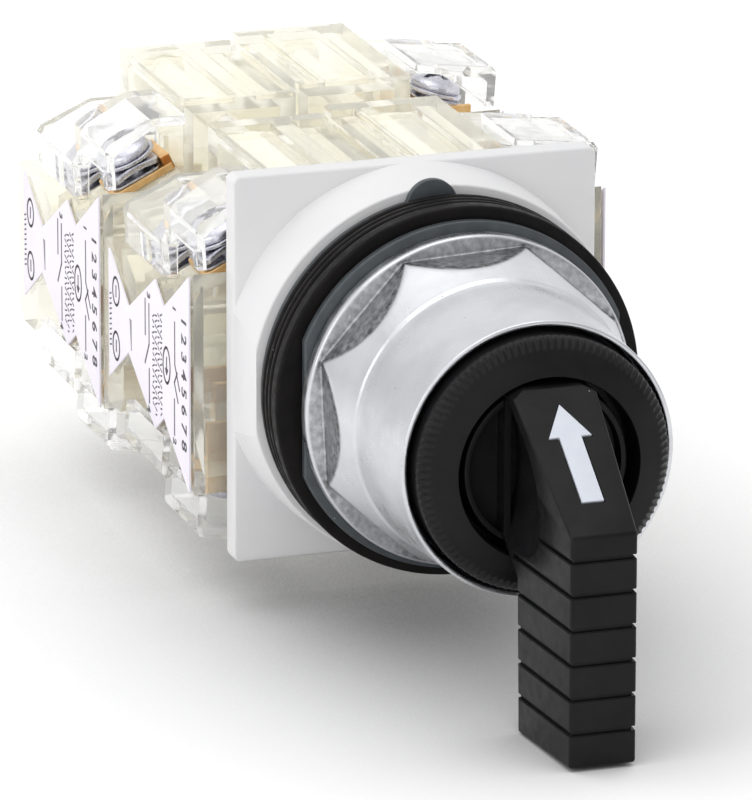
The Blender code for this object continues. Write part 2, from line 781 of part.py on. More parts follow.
def make_lever(material):
    hub_back = DISC_FLOOR_Y + HUB_LENGTH
    rim_inner = DISC_RADIUS - DISC_RIM_WIDTH
    lever = turned(
        "selector_lever",
        [
            (0, hub_back),
            (SKIRT_RADIUS, hub_back),
            (SKIRT_RADIUS, COLLAR_Y + GAP),
            (DISC_RADIUS, COLLAR_Y + GAP),
            (DISC_RADIUS, DISC_RIM_Y),
            (rim_inner, DISC_RIM_Y),
            (rim_inner, DISC_FLOOR_Y),
            (0, DISC_FLOOR_Y),
        ],
    )
    body = cut_grooves(cut_scoops(make_lever_body()))
    lever = join(lever, body)
    pocket_depth = ARROW_THICKNESS - ARROW_PROUD + GAP
    lever = cut(lever, slope_prism("pocket", arrow_outline(GAP), -pocket_depth, 1.0 * MM))
    half = SHAFT_SQUARE / 2 + GAP
    socket_front = hub_back - SHAFT_SQUARE_LENGTH - GAP
    socket = box("socket", (-half, socket_front, -half), (half, hub_back + 1.0 * MM, half))
    lever = cut(lever, socket)
    return set_origin(finish(lever, material, 25.0), (0.0, DISC_FLOOR_Y, 0.0))


def make_arrow(material):
    bottom = ARROW_PROUD - ARROW_THICKNESS
    arrow = slope_prism("pointer_arrow", arrow_outline(), bottom, ARROW_PROUD)
    return set_origin(finish(arrow, material), (0.0, DISC_FLOOR_Y, 0.0))


def make_cam_shaft(material):
    hub_back = DISC_FLOOR_Y + HUB_LENGTH
    shaft = rod("cam_shaft", 0, 0, SHAFT_RADIUS, hub_back + GAP, CAM_FRONT_Y + 1.0 * MM, 32)
    cam = turned(
        "cam",
        [
            (0, CAM_MIDDLE_Y + CAM_RADIUS),
            (CAM_RADIUS, CAM_MIDDLE_Y + CAM_RADIUS),
            (CAM_RADIUS, CAM_FRONT_Y),
            (0, CAM_FRONT_Y),
        ],
    )
    # The half space behind the tilted face is taken off the disc
    reach = CAM_RADIUS * 2
    outline = [
        (CAM_MIDDLE_Y + CAM_SLOPE * reach, reach),
        (CAM_MIDDLE_Y - CAM_SLOPE * reach, -reach),
        (CAM_MIDDLE_Y + reach * 2, -reach),
        (CAM_MIDDLE_Y + reach * 2, reach),
    ]
    cam = cut(cam, prism("behind", outline, -reach, reach, "X"))
    shaft = join(shaft, cam)
    half = SHAFT_SQUARE / 2
    square = box(
        "square", (-half, hub_back - SHAFT_SQUARE_LENGTH, -half), (half, hub_back + 1.0 * MM, half)
    )
    return set_origin(finish(join(shaft, square), material), (0.0, CAM_MIDDLE_Y, 0.0))


def make_push_rods(material):
    front = CAM_MIDDLE_Y + GAP
    back = BLOCK_FRONT_Y + CARRIER_START - GAP
    for side, name in ((-1, "left_push_rod"), (1, "right_push_rod")):
        body = turned(
            name,
            [
                (0, back),
                (ROD_RADIUS, back),
                (ROD_RADIUS, front + ROD_TIP_LENGTH),
                (ROD_TIP_RADIUS, front),
                (0, front),
            ],
            SMALL_STEPS,
        )
        body.data.transform(Matrix.Translation((side * PUSH_RADIUS, 0, 0)))
        set_origin(finish(body, material), (side * PUSH_RADIUS, front, 0.0))


def make_guide_plate(material):
    back = GUIDE_PLATE_Y + GUIDE_PLATE_THICKNESS
    outline = rounded_rectangle(GUIDE_PLATE_WIDTH, GUIDE_PLATE_HEIGHT, PLATE_CORNER, 2)
    plate = prism("guide_plate", outline, GUIDE_PLATE_Y, back, "Y")
    for side in (-1, 1):
        x = side * PUSH_RADIUS
        hole = rod("hole", x, 0, ROD_RADIUS + GAP, 0, back * 2)
        plate = cut(plate, hole)
        for z in (-SCREW_Z, SCREW_Z):
            hole = rod("hole", side * SCREW_X, z, SCREW_RADIUS + GAP, 0, back * 2)
            plate = cut(plate, hole)
    return finish(plate, material)


def make_mounting_screws(material):
    """Each long screw runs through the towers of both blocks on its side."""
    seat = BLOCK_FRONT_Y + BLOCK_PITCH + TOWER_END + GAP
    top = seat + SCREW_HEAD_HEIGHT
    slot_floor = top - SCREW_HEAD_HEIGHT / 2
    number = 0
    for x in (-SCREW_X, SCREW_X):
        for z in (SCREW_Z, -SCREW_Z):
            number += 1
            screw = turned(
                f"mounting_screw_{number}",
                [
                    (0, top),
                    (SCREW_HEAD_RADIUS * 0.8, top),
                    (SCREW_HEAD_RADIUS, top - SCREW_HEAD_HEIGHT * 0.4),
                    (SCREW_HEAD_RADIUS, seat),
                    (SCREW_RADIUS, seat),
                    (SCREW_RADIUS, -SCREW_BITE + 0.8 * MM),
                    (SCREW_RADIUS / 2, -SCREW_BITE),
                    (0, -SCREW_BITE),
                ],
                SMALL_STEPS,
            )
            reach = SCREW_HEAD_RADIUS * 2
            slot = box(
                "slot", (-reach, slot_floor, -SCREW_SLOT / 2), (reach, top + reach, SCREW_SLOT / 2)
            )
            screw = cut(screw, slot)
            screw.data.transform(Matrix.Translation((x, 0, z)))
            set_origin(finish(screw, material), (x, seat, z))


def block_point(outward, depth, height):
    """A place in the front left block, from its own outward, depth and height."""
    return Vector((-outward, BLOCK_FRONT_Y + depth, height - BLOCK_DROP))


def block_box(name, outward, depth, height):
    """A box in the block's own directions, each given as (low, high)."""
    one = block_point(outward[0], depth[0], height[0])
    two = block_point(outward[1], depth[1], height[1])
    low = [min(a, b) for a, b in zip(one, two)]
    high = [max(a, b) for a, b in zip(one, two)]
    return box(name, low, high)


def block_side_prism(name, outline, outward):
    """An outline of (depth, height) points, extruded across the block's width."""
    points = [(BLOCK_FRONT_Y + depth, height - BLOCK_DROP) for depth, height in outline]
    return prism(name, points, -outward[1], -outward[0], "X")


def block_front_prism(name, outline, depth):
    """An outline of (outward, height) points, extruded along the block's depth."""
    points = [(-outward, height - BLOCK_DROP) for outward, height in outline]
    return prism(name, points, BLOCK_FRONT_Y + depth[0], BLOCK_FRONT_Y + depth[1], "Y")


def stepped_outline(inset=0.0, depth_start=0.0, depth_end=BLOCK_DEPTH):
    """The block's saw-toothed side, taken in by an inset in height."""
    upper = [
        (depth_start, BLOCK_EDGE_HEIGHT - inset),
        (BLOCK_NOTCH[0], BLOCK_NOTCH[1] - inset),
        (BLOCK_STEP[0], BLOCK_STEP[1] - inset),
        (BLOCK_WAIST[0], BLOCK_WAIST[1] - inset),
        (BLOCK_TAIL[0], BLOCK_TAIL[1] - inset),
        (depth_end, BLOCK_TAIL[1] - inset),
    ]
    lower = [(depth, -height) for depth, height in reversed(upper)]
    return upper + lower


def seat_height(end, tier, outward):
    """Height of a terminal's sloping seat at a distance from the block's middle plane."""
    values = TIERS[end]
    rise = math.tan(values["tilt"]) * (SEAT_MIDDLE - outward)
    return values["sign"] * (values["seats"][tier] + rise)


def make_housing():
    """One block's clear shell, open at the front and back for the carrier."""
    width = (GAP / 2, BLOCK_WIDTH)
    body = block_side_prism("housing", stepped_outline(), width)
    tower = block_box(
        "tower", (GAP / 2, TOWER_WIDTH), (TOWER_START, TOWER_END), (-TOWER_BOTTOM, TOWER_TOP)
    )
    body = join(body, tower)
    for end in TIERS:
        for tier, middle in enumerate(TIER_MIDDLES):
            body = join(body, make_pedestal(end, tier, middle))
    body = join(body, make_foot())
    room = block_side_prism(
        "room",
        stepped_outline(BLOCK_WALL, BLOCK_WALL, BLOCK_DEPTH - BLOCK_WALL),
        (GAP / 2 + BLOCK_WALL, BLOCK_WIDTH - BLOCK_WALL),
    )
    tower_room = block_box(
        "tower_room",
        (GAP / 2 + BLOCK_WALL, TOWER_WIDTH - BLOCK_WALL),
        (TOWER_START + BLOCK_WALL, TOWER_END - BLOCK_WALL),
        (-TOWER_BOTTOM + TOWER_ROOF, TOWER_TOP - TOWER_ROOF),
    )
    # A wall under the tower's back stays, for the return spring to bear on
    reach = BLOCK_WIDTH * 2
    partition = block_box(
        "partition", (-reach, reach), (TOWER_END - BLOCK_WALL, TOWER_END), (-reach, reach)
    )
    body = cut(body, join(cut(room, partition), tower_room))
    body = cut_housing_openings(body)
    return body


def make_pedestal(end, tier, middle):
    """The solid ledge that a terminal sits on, with a sloping top."""
    sign = TIERS[end]["sign"]
    inner = TOWER_WIDTH - 1.0 * MM
    root = sign * (BLOCK_WAIST[1] - BLOCK_WALL + 0.6 * MM)
    outline = [
        (inner, root),
        (inner, seat_height(end, tier, inner) - sign * GAP),
        (SEAT_OUTER, seat_height(end, tier, SEAT_OUTER) - sign * GAP),
        (SEAT_OUTER, root),
    ]
    half = STRIP_WIDTH / 2 + 0.9 * MM
    return block_front_prism("pedestal", outline, (middle - half, middle + half))


def make_foot():
    """The solid foot under the back of the block, with its lower corners taken off."""
    root = -(BLOCK_WAIST[1] - BLOCK_WALL + 0.6 * MM)
    shoulder = -(FOOT_HEIGHT - FOOT_CHAMFER)
    outline = [
        (FOOT_START, root),
        (FOOT_START, shoulder),
        (FOOT_START + FOOT_CHAMFER, -FOOT_HEIGHT),
        (BLOCK_DEPTH - FOOT_CHAMFER, -FOOT_HEIGHT),
        (BLOCK_DEPTH, shoulder),
        (BLOCK_DEPTH, root),
    ]
    return block_side_prism("foot", outline, (FOOT_INNER, BLOCK_WIDTH))


def cut_housing_openings(body):
    """Holes for the carrier and the long screws, slots for the blades, and the sunk windows."""
    opening = CARRIER_STEM / 2 + 0.5 * MM
    stem = block_box(
        "stem",
        (PUSH_RADIUS - opening, PUSH_RADIUS + opening),
        (-1.0 * MM, BLOCK_WALL + 1.0 * MM),
        (PLUNGER_HEIGHT - opening, PLUNGER_HEIGHT + opening),
    )
    body = cut(body, stem)
    tail_front = BLOCK_FRONT_Y + TOWER_END - BLOCK_WALL * 2
    tail_back = BLOCK_FRONT_Y + BLOCK_DEPTH * 1.5
    tail = rod("tail", -PUSH_RADIUS, 0, CARRIER_TAIL_RADIUS + TAIL_CLEARANCE, tail_front, tail_back)
    body = cut(body, tail)
    for z in (-SCREW_Z, SCREW_Z):
        y_back = BLOCK_FRONT_Y + BLOCK_DEPTH * 1.5
        body = cut(body, rod("hole", -SCREW_X, z, SCREW_RADIUS + GAP, 0, y_back))
    for end, values in TIERS.items():
        sign = values["sign"]
        for tier, depth in enumerate(BLADE_DEPTHS):
            slot = block_box(
                "slot",
                (TOWER_WIDTH - BLOCK_WALL - 0.2 * MM, SEAT_MIDDLE + BLADE_WIDTH / 2 + GAP),
                (depth - GAP, depth + BLADE_THICKNESS + GAP),
                (sign * (values["arms"][tier] - GAP), sign * (values["seats"][tier] + 4.0 * MM)),
            )
            body = cut(body, slot)
        for tier, middle in enumerate(TIER_MIDDLES):
            side = STRIP_WIDTH / 2 + GAP
            outline = [
                (TOWER_WIDTH, seat_height(end, tier, TOWER_WIDTH) - sign * GAP),
                (SEAT_OUTER, seat_height(end, tier, SEAT_OUTER) - sign * GAP),
                (SEAT_OUTER, sign * BLOCK_EDGE_HEIGHT * 2),
                (TOWER_WIDTH, sign * BLOCK_EDGE_HEIGHT * 2),
            ]
            body = cut(body, block_front_prism("seat", outline, (middle - side, middle + side)))
        top = TOWER_TOP if sign > 0 else TOWER_BOTTOM
        heights = (sign * (top - WINDOW_DEPTH), sign * (top + 1.0 * MM))
        for outward in values["windows"]:
            body = cut(body, block_box("window", outward, WINDOW_ENDS, heights))
    return body


def make_label():
    """A thin label that follows the block's saw-toothed side."""
    inner = BLOCK_WIDTH + GAP
    outline = stepped_outline(LABEL_MARGIN, 0.1 * MM, BLOCK_TAIL[0] + 0.1 * MM)
    return block_side_prism("label", outline, (inner, inner + LABEL_THICKNESS))


def make_terminal(end, tier):
    """A brass strip with its blade, and the clamp plate and screw fixed to it."""
    values = TIERS[end]
    middle = TIER_MIDDLES[tier]
    base = 0.0
    half = STRIP_WIDTH / 2
    # Drawn flat, with X outward, Y along the depth and Z up from the seat
    strip = box(
        "terminal", (-STRIP_LENGTH / 2, -half, base), (STRIP_LENGTH / 2, half, STRIP_THICKNESS)
    )
    clamp_low = STRIP_THICKNESS + CLAMP_LIFT
    clamp_high = clamp_low + CLAMP_THICKNESS
    side = CLAMP_SIZE / 2
    clamp = box("clamp", (-side, -side, clamp_low), (side, side, clamp_high))
    head = TERMINAL_HEAD_RADIUS
    screw = turned(
        "screw",
        [
            (0, -clamp_high - TERMINAL_HEAD_HEIGHT),
            (head * 0.65, -clamp_high - TERMINAL_HEAD_HEIGHT * 0.85),
            (head, -clamp_high - TERMINAL_HEAD_HEIGHT * 0.35),
            (head, -clamp_high + 0.2 * MM),
            (TERMINAL_SHANK_RADIUS, -clamp_high + 0.2 * MM),
            (TERMINAL_SHANK_RADIUS, -STRIP_THICKNESS / 2),
            (0, -STRIP_THICKNESS / 2),
        ],
        SMALL_STEPS,
    )
    screw.data.transform(Matrix.Rotation(-math.pi / 2, 4, "X"))
    screw_top = clamp_high + TERMINAL_HEAD_HEIGHT
    slot = box(
        "slot",
        (-head * 2, -TERMINAL_SLOT / 2, screw_top - TERMINAL_HEAD_HEIGHT * 0.5),
        (head * 2, TERMINAL_SLOT / 2, screw_top + head),
    )
    terminal = join(join(strip, clamp), cut(screw, slot))
    # Laid on its seat in the left block, then turned over for the bottom end
    height = values["seats"][tier]
    tilt = Matrix.Rotation(values["tilt"], 4, "Y")
    flip = Matrix.Diagonal((-1, 1, 1, 1))
    terminal.data.transform(flip @ tilt)
    if values["sign"] < 0:
        terminal.data.transform(Matrix.Diagonal((1, 1, -1, 1)))
        terminal.data.flip_normals()
    terminal.data.flip_normals()
    place = block_point(SEAT_MIDDLE, middle, values["sign"] * height)
    terminal.data.transform(Matrix.Translation(place))
    blade = make_blade(end, tier)
    return tidy(join(tidy(terminal), blade))


def make_blade(end, tier):
    """The L-shaped blade that drops through the housing to the fixed contact."""
    sign = TIERS[end]["sign"]
    low = TIERS[end]["arms"][tier]
    high = low + BLADE_WIDTH
    inner = SEAT_MIDDLE - BLADE_WIDTH / 2
    outer = SEAT_MIDDLE + BLADE_WIDTH / 2
    top = STRIP_THICKNESS / 2
    outline = [
        (BLADE_REACH, sign * low),
        (BLADE_REACH, sign * high),
        (inner, sign * high),
        (inner, seat_height(end, tier, inner) + sign * top),
        (outer, seat_height(end, tier, outer) + sign * top),
        (outer, sign * low),
    ]
    depth = BLADE_DEPTHS[tier]
    return block_front_prism("blade", outline, (depth, depth + BLADE_THICKNESS))


def spring_seat():
    """Depth of the carrier's spring seat, behind its second bridge."""
    return BRIDGE_DEPTHS[1] + BRIDGE_THICKNESS + SPRING_SEAT_THICKNESS


def make_carrier():
    """The sliding carrier: a square stem with two contact bridges, a spring seat and a round tail."""
    half = CARRIER_STEM / 2
    x = (PUSH_RADIUS - half, PUSH_RADIUS + half)
    z = (PLUNGER_HEIGHT - half, PLUNGER_HEIGHT + half)
    start = CARRIER_START
    seat_back = spring_seat()
    carrier = block_box("carrier", x, (start, seat_back - SPRING_SEAT_THICKNESS / 2), z)
    for depth in BRIDGE_DEPTHS:
        bridge = block_box(
            "bridge",
            (PUSH_RADIUS - BRIDGE_WIDTH / 2, PUSH_RADIUS + BRIDGE_WIDTH / 2),
            (depth, depth + BRIDGE_THICKNESS),
            (PLUNGER_HEIGHT - BRIDGE_HALF_LENGTH, PLUNGER_HEIGHT + BRIDGE_HALF_LENGTH),
        )
        carrier = join(carrier, bridge)
    side = SPRING_SEAT_SIZE / 2
    seat = block_box(
        "seat",
        (PUSH_RADIUS - side, PUSH_RADIUS + side),
        (seat_back - SPRING_SEAT_THICKNESS, seat_back),
        (PLUNGER_HEIGHT - side, PLUNGER_HEIGHT + side),
    )
    carrier = join(carrier, seat)
    tail_front = BLOCK_FRONT_Y + seat_back - SPRING_SEAT_THICKNESS / 2
    tail_back = BLOCK_FRONT_Y + BLOCK_PITCH + start - GAP
    tail = rod("tail", -PUSH_RADIUS, 0, CARRIER_TAIL_RADIUS, tail_front, tail_back)
    return join(carrier, tail)


def make_spring():
    """A compression spring around the tail, between the carrier's seat and the partition."""
    start = spring_seat() + GAP + SPRING_WIRE
    end = TOWER_END - BLOCK_WALL - GAP - SPRING_WIRE
    count = SPRING_TURNS * 7
    curve = bpy.data.curves.new("spring", "CURVE")
    curve.dimensions = "3D"
    curve.bevel_depth = SPRING_WIRE
    curve.bevel_resolution = 0
    curve.use_fill_caps = True
    spline = curve.splines.new("POLY")
    spline.points.add(count)
    for index, point in enumerate(spline.points):
        share = index / count
        angle = math.tau * SPRING_TURNS * share
        place = block_point(
            PUSH_RADIUS + SPRING_RADIUS * math.cos(angle),
            start + (end - start) * share,
            PLUNGER_HEIGHT + SPRING_RADIUS * math.sin(angle),
        )
        point.co = (*place, 1.0)
    obj = link(bpy.data.objects.new("spring", curve))
    bpy.context.view_layer.update()
    return tidy(bake(obj))


def hood_section(end, tier, inset=0.0):
    """A hood's solid section: a leaning outer wall and a roof that runs in to the tower."""
    values = TIERS[end]
    corner = values["corners"][tier] - inset
    ridge = values["ridges"][tier] - inset
    ridge_at = values["ridge_at"]
    outer = HOOD_OUTER + tier * HOOD_SHIFT - inset
    inner = HOOD_INNER - inset
    bottom = wall_bottom(tier) - inset
    outline = [
        (outer - HOOD_LEAN, bottom),
        (outer, corner - HOOD_THICKNESS / 2),
        (outer - HOOD_THICKNESS / 2, corner + (0.2 * MM if inset == 0 else 0.0)),
        (ridge_at, ridge),
        (inner, ridge),
        (inner, bottom),
    ]
    return [(outward, values["sign"] * height) for outward, height in outline]


def wall_bottom(tier):
    """How far down a hood's outer wall reaches: just clear of the block's shoulder."""
    if tier == 0:
        return BLOCK_EDGE_HEIGHT + GAP
    return BLOCK_STEP[1] + GAP


def make_cover(end):
    """The clear cover over one end's two terminals: a high hood, a low hood and the wall between."""
    values = TIERS[end]
    sign = values["sign"]
    split = HOOD_SPLIT - HOOD_THICKNESS
    cover = block_front_prism("cover", hood_section(end, 0), (GAP, HOOD_SPLIT))
    low = block_front_prism("low", hood_section(end, 1), (split + HOOD_THICKNESS / 2, HOOD_LENGTH))
    cover = join(cover, low)
    front_room = hood_section(end, 0, HOOD_THICKNESS)
    cover = cut(cover, block_front_prism("room", front_room, (-HOOD_THICKNESS, split)))
    back_room = hood_section(end, 1, HOOD_THICKNESS)
    cover = cut(cover, block_front_prism("room", back_room, (HOOD_SPLIT, HOOD_LENGTH * 1.2)))
    # The wall between the hoods stops above the terminals' blades
    above = values["ridges"][1] - DIVIDER_REACH
    inner = (HOOD_INNER * 0.5, HOOD_OUTER - HOOD_THICKNESS * 1.5)
    under = block_box("under", inner, (split - GAP, HOOD_SPLIT + GAP), (0, sign * above))
    cover = cut(cover, under)
    if end == "bottom":
        return cut_corners(cover)
    # Wire entry between the legs of the high hood, and two slits in the low one
    outward = (HOOD_OUTER - HOOD_THICKNESS * 3, HOOD_OUTER * 1.2)
    entry_top = values["corners"][0] - ENTRY_DROP
    entry = block_box(
        "entry", outward, (GAP + LEG_WIDTH, GAP + LEG_WIDTH + ENTRY_WIDTH), (0, sign * entry_top)
    )
    cover = cut(cover, entry)
    for index in (1, 2):
        depth = HOOD_SPLIT + index * SLIT_PITCH
        slit_top = values["corners"][1] - SLIT_DROP
        slit = block_box("slit", outward, (depth, depth + SLIT_WIDTH), (0, sign * slit_top))
        cover = cut(cover, slit)
    return cover


def cut_corners(cover):
    """Takes the back lower corner off each hood at the bottom end."""
    values = TIERS["bottom"]
    outward = (HOOD_OUTER - CORNER_CUT, HOOD_OUTER * 1.2)
    for tier in range(2):
        deep = values["corners"][tier] + 1.7 * MM
        start = CORNER_STARTS[tier]
        end = CORNER_ENDS[tier]
        outline = [(start, -deep), (end, -deep), (end, -deep + CORNER_RISE)]
        cover = cut(cover, block_side_prism("corner", outline, outward))
    return cover


def make_contact_blocks(materials):
    """Four blocks: front and back on the left, and the same turned half a turn on the right."""
    pieces = {
        "housing": (make_housing(), materials["clear"]),
        "label": (make_label(), materials["label"]),
        "top_cover": (make_cover("top"), materials["cover"]),
        "bottom_cover": (make_cover("bottom"), materials["cover"]),
        "carrier": (make_carrier(), materials["carrier"]),
        "spring": (make_spring(), materials["steel"]),
    }
    for number, end in enumerate(("top", "bottom")):
        for tier in range(2):
            name = f"terminal_{number * 2 + tier + 1}"
            pieces[name] = (make_terminal(end, tier), materials["brass"])
    for piece, (pattern, material) in pieces.items():
        finish(pattern, material)
        for side, turn in (("left", 0.0), ("right", math.pi)):
            for row, shift in (("front", 0.0), ("rear", BLOCK_PITCH)):
                obj = link(bpy.data.objects.new(f"{row}_{side}_{piece}", pattern.data))
                obj.location = (0.0, shift, 0.0)
                obj.rotation_euler = (0.0, turn, 0.0)
        bpy.data.objects.remove(pattern)


def gather(name):
    """Puts every piece in one collection named for the object."""
    collection = bpy.data.collections.new(name)
    bpy.context.scene.collection.children.link(collection)
    for obj in list(bpy.context.scene.collection.objects):
        collection.objects.link(obj)
        bpy.context.scene.collection.objects.unlink(obj)


def main():
    clear_scene()
    materials = {
        "white": make_material("white_plastic", (0.80, 0.80, 0.78), 0.45),
        "zinc": make_material("bushing_zinc", (0.55, 0.56, 0.58), 0.35, 1.0),
        "washer": make_material("washer_steel", (0.10, 0.11, 0.12), 0.5, 0.6),
        "rubber": make_material("gasket_rubber", (0.015, 0.013, 0.013), 0.6),
        "chrome": make_material("chrome", (0.80, 0.81, 0.82), 0.15, 1.0),
        "black": make_material("black_plastic", (0.02, 0.02, 0.022), 0.35),
        "arrow": make_material("arrow_white", (0.75, 0.78, 0.82), 0.5),
        "nylon": make_material("push_rod_nylon", (0.65, 0.63, 0.58), 0.45),
        "steel": make_material("plated_steel", (0.62, 0.63, 0.66), 0.25, 1.0),
        "clear": make_material("clear_housing", (0.75, 0.72, 0.55), 0.1),
        "cover": make_material("clear_cover", (0.82, 0.83, 0.82), 0.08),
        "label": make_material("label_paper", (0.80, 0.77, 0.84), 0.6),
        "carrier": make_material("carrier_plastic", (0.60, 0.57, 0.48), 0.5),
        "brass": make_material("terminal_brass", (0.75, 0.52, 0.24), 0.3, 1.0),
    }
    make_base_flange(materials["white"])
    make_bushing(materials["zinc"])
    make_locating_washer(materials["washer"])
    make_gaskets(materials["rubber"])
    make_trim_washer(materials["washer"])
    make_ring_nut(materials["chrome"])
    make_collar(materials["black"])
    make_lever(materials["black"])
    make_arrow(materials["arrow"])
    make_cam_shaft(materials["nylon"])
    make_push_rods(materials["nylon"])
    make_guide_plate(materials["black"])
    make_mounting_screws(materials["steel"])
    make_contact_blocks(materials)
    gather("selector_switch")


main()
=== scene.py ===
"""Dresses the panel selector switch: finer pieces, plastic and metal finishes, and a plain studio."""

import math

import bmesh
import bpy
from bpy.props import FloatProperty, FloatVectorProperty, IntProperty, PointerProperty
from mathutils import Matrix, Vector, noise


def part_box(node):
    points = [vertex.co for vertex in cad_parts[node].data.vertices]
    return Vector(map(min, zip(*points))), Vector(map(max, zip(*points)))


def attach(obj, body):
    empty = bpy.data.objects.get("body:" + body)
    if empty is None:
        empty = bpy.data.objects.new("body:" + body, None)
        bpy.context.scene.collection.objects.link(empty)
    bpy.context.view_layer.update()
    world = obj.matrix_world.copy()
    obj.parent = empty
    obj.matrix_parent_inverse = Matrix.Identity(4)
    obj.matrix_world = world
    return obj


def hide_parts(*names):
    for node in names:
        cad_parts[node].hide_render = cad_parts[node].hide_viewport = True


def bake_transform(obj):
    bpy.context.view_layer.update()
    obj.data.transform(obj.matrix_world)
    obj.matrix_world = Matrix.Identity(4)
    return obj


bl_info = {
    "name": "Panel selector switch",
    "version": (1, 0, 0),
    "blender": (4, 5, 0),
    "location": "View3D > Sidebar > Switch",
    "description": "Builds the visible pieces of a panel selector switch on its CAD frame",
    "category": "Add Mesh",
}

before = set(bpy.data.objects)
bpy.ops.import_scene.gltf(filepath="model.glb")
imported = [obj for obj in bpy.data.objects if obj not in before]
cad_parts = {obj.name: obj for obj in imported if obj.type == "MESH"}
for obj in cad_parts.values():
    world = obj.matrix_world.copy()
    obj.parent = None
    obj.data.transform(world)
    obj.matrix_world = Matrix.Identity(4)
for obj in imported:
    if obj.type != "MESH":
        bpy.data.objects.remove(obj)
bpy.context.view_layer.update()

MM = 0.001
GAP = 0.3 * MM
# Points nearer than this are one point
WELD = 0.001 * MM

# Places along the axis, read from the frame
FLANGE_LOW, FLANGE_HIGH = (Vector(corner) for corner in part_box("base_flange"))
NUT_LOW, NUT_HIGH = (Vector(corner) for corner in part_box("ring_nut"))
COLLAR_LOW, COLLAR_HIGH = (Vector(corner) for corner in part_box("knurled_collar"))
WASHER_LOW, WASHER_HIGH = (Vector(corner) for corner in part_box("locating_washer"))
TRIM_LOW, TRIM_HIGH = (Vector(corner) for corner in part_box("trim_washer"))
BORE_RADIUS = 15.15 * MM

# Base flange and its drum
PLATE_CORNER = 0.9 * MM
DRUM_ROOT_RADIUS = 22.7 * MM
DRUM_FRONT_RADIUS = 22.2 * MM
SHOULDER_RADIUS = 16.2 * MM

# Washers
LOCATING_RADIUS = 21.2 * MM
NIB_HALF_WIDTH = 3.0 * MM
NIB_TOP = 23.3 * MM
NIB_TURN = math.radians(-3.4)

# Ring nut: flange, octagon under a chamfer cone, step and barrel
NUT_FLANGE_THICKNESS = 2.2 * MM
NUT_FLANGE_EDGE = 0.35 * MM
NUT_APOTHEM = 17.2 * MM
NUT_SECTOR = math.tau / 8
NUT_TURN = math.radians(2.8)
NUT_FILLET = 0.25 * MM
CONE_BACK_Y = NUT_HIGH.y - NUT_FLANGE_THICKNESS
CONE_FRONT_Y = CONE_BACK_Y - 8.0 * MM
CONE_ROOT, CONE_TOP = 18.9 * MM, 16.6 * MM
NUT_STEP = 0.7 * MM
BARREL_ROOT, BARREL_RIM = 16.25 * MM, 15.75 * MM

# Knurled collar
COLLAR_BORE, COLLAR_LIP = 10.4 * MM, 9.8 * MM
COLLAR_LIP_DEPTH = 3.0 * MM
CROWN_RADIUS = 13.35 * MM
CROWN_HEIGHT = 0.9 * MM
KNURL_LENGTH = 1.45 * MM

# Knob and lever
DISC_BACK_Y = -38.0 * MM
DISC_FLOOR_Y = -42.8 * MM
DISC_RIM_Y = -44.6 * MM
DISC_RADIUS = 9.4 * MM
SKIRT_RADIUS = 10.3 * MM
HUB_BACK_Y = -33.8 * MM
BAR_HALF_WIDTH = 5.0 * MM
BAR_FRONT_Y = -45.2 * MM
WEDGE_TOP = Vector((0.0, -48.0, 8.6)) * MM
LEVER_SHOULDER = Vector((0.0, -63.65, -2.15)) * MM
LEVER_TIP_Z = -28.3 * MM
LEVER_BACK_Y = -48.8 * MM
LEVER_HEEL_Z = -11.0 * MM
LEVER_FRONT_HALF_WIDTH = 3.8 * MM
SCOOP_SIZE = (3.5 * MM, 13.4 * MM, 7.8 * MM)
SCOOP_RIB = 0.75 * MM
SCOOP_PAST_EDGE = 1.6 * MM
GROOVE_COUNT = 6
GROOVE_TOP_Z = -4.85 * MM
GROOVE_PITCH = 3.9 * MM
# Depth and width of each groove and of the wider lip round it
GROOVE_STEPS = ((0.09 * MM, 0.72 * MM), (0.42 * MM, 0.5 * MM))

# Pointer arrow: depth of its pocket, thickness, gap round it, and height over the slope
POCKET_FLOOR = -0.55 * MM
ARROW_THICKNESS = 0.5 * MM
ARROW_EDGE = 0.06 * MM
ARROW_GAP = 0.16 * MM
ARROW_SEAT = -0.35 * MM

# Contact block, drawn as the front left one
BLOCK_FRONT_Y = 6.0 * MM
BLOCK_PITCH = 35.4 * MM
BLOCK_WIDTH = 24.5 * MM
BLOCK_DROP = 3.1 * MM
LABEL_OUTLINE = (
    (0.1, 12.85),
    (9.8, 6.65),
    (13.3, 8.95),
    (23.7, 2.75),
    (31.4, 7.75),
    (31.5, 7.75),
)

# Terminals: middle and depths of the seats; for each end its side, tilt and the seats' heights
SEAT_MIDDLE = 17.9 * MM
SEAT_DEPTHS = (7.4 * MM, 20.6 * MM)
SCREW_TURN = math.radians(28)
BLADE_DEPTHS = (11.2 * MM, 17.3 * MM)
BLADE_ARMS = {"top": (9.4 * MM, 6.6 * MM), "bottom": (3.2 * MM, 3.2 * MM)}
LIP_TOPS = (-5.6, -3.0)
LIP_HEIGHT = 7.4
SPRING_WIRE = 0.28 * MM
SPRING_TURNS = 4
ENDS = {
    "top": (1, math.radians(26.0), (12.7 * MM, 8.8 * MM)),
    "bottom": (-1, math.radians(16.0), (11.1 * MM, 7.2 * MM)),
}

# Floor just under the lever's tip, and how far from the switch its painted shadow reaches
FLOOR_Z = -28.75 * MM
FLOOR_REACH = 4.0
FLOOR_SHADE_REACH = 0.045

# The photograph's viewing angle
VIEW_AZIMUTH = math.radians(-18.44)
VIEW_ELEVATION = math.radians(16.95)
VIEW_ROLL = math.radians(0.11)
VIEW_DISTANCE = 1.02255
VIEW_TARGET = Vector((-4.68, 0.0, -4.93)) * MM
SENSOR_WIDTH = 36.0
PHOTO_WIDTH = 752
VIEW_LENS = 9002.69 / PHOTO_WIDTH * SENSOR_WIDTH


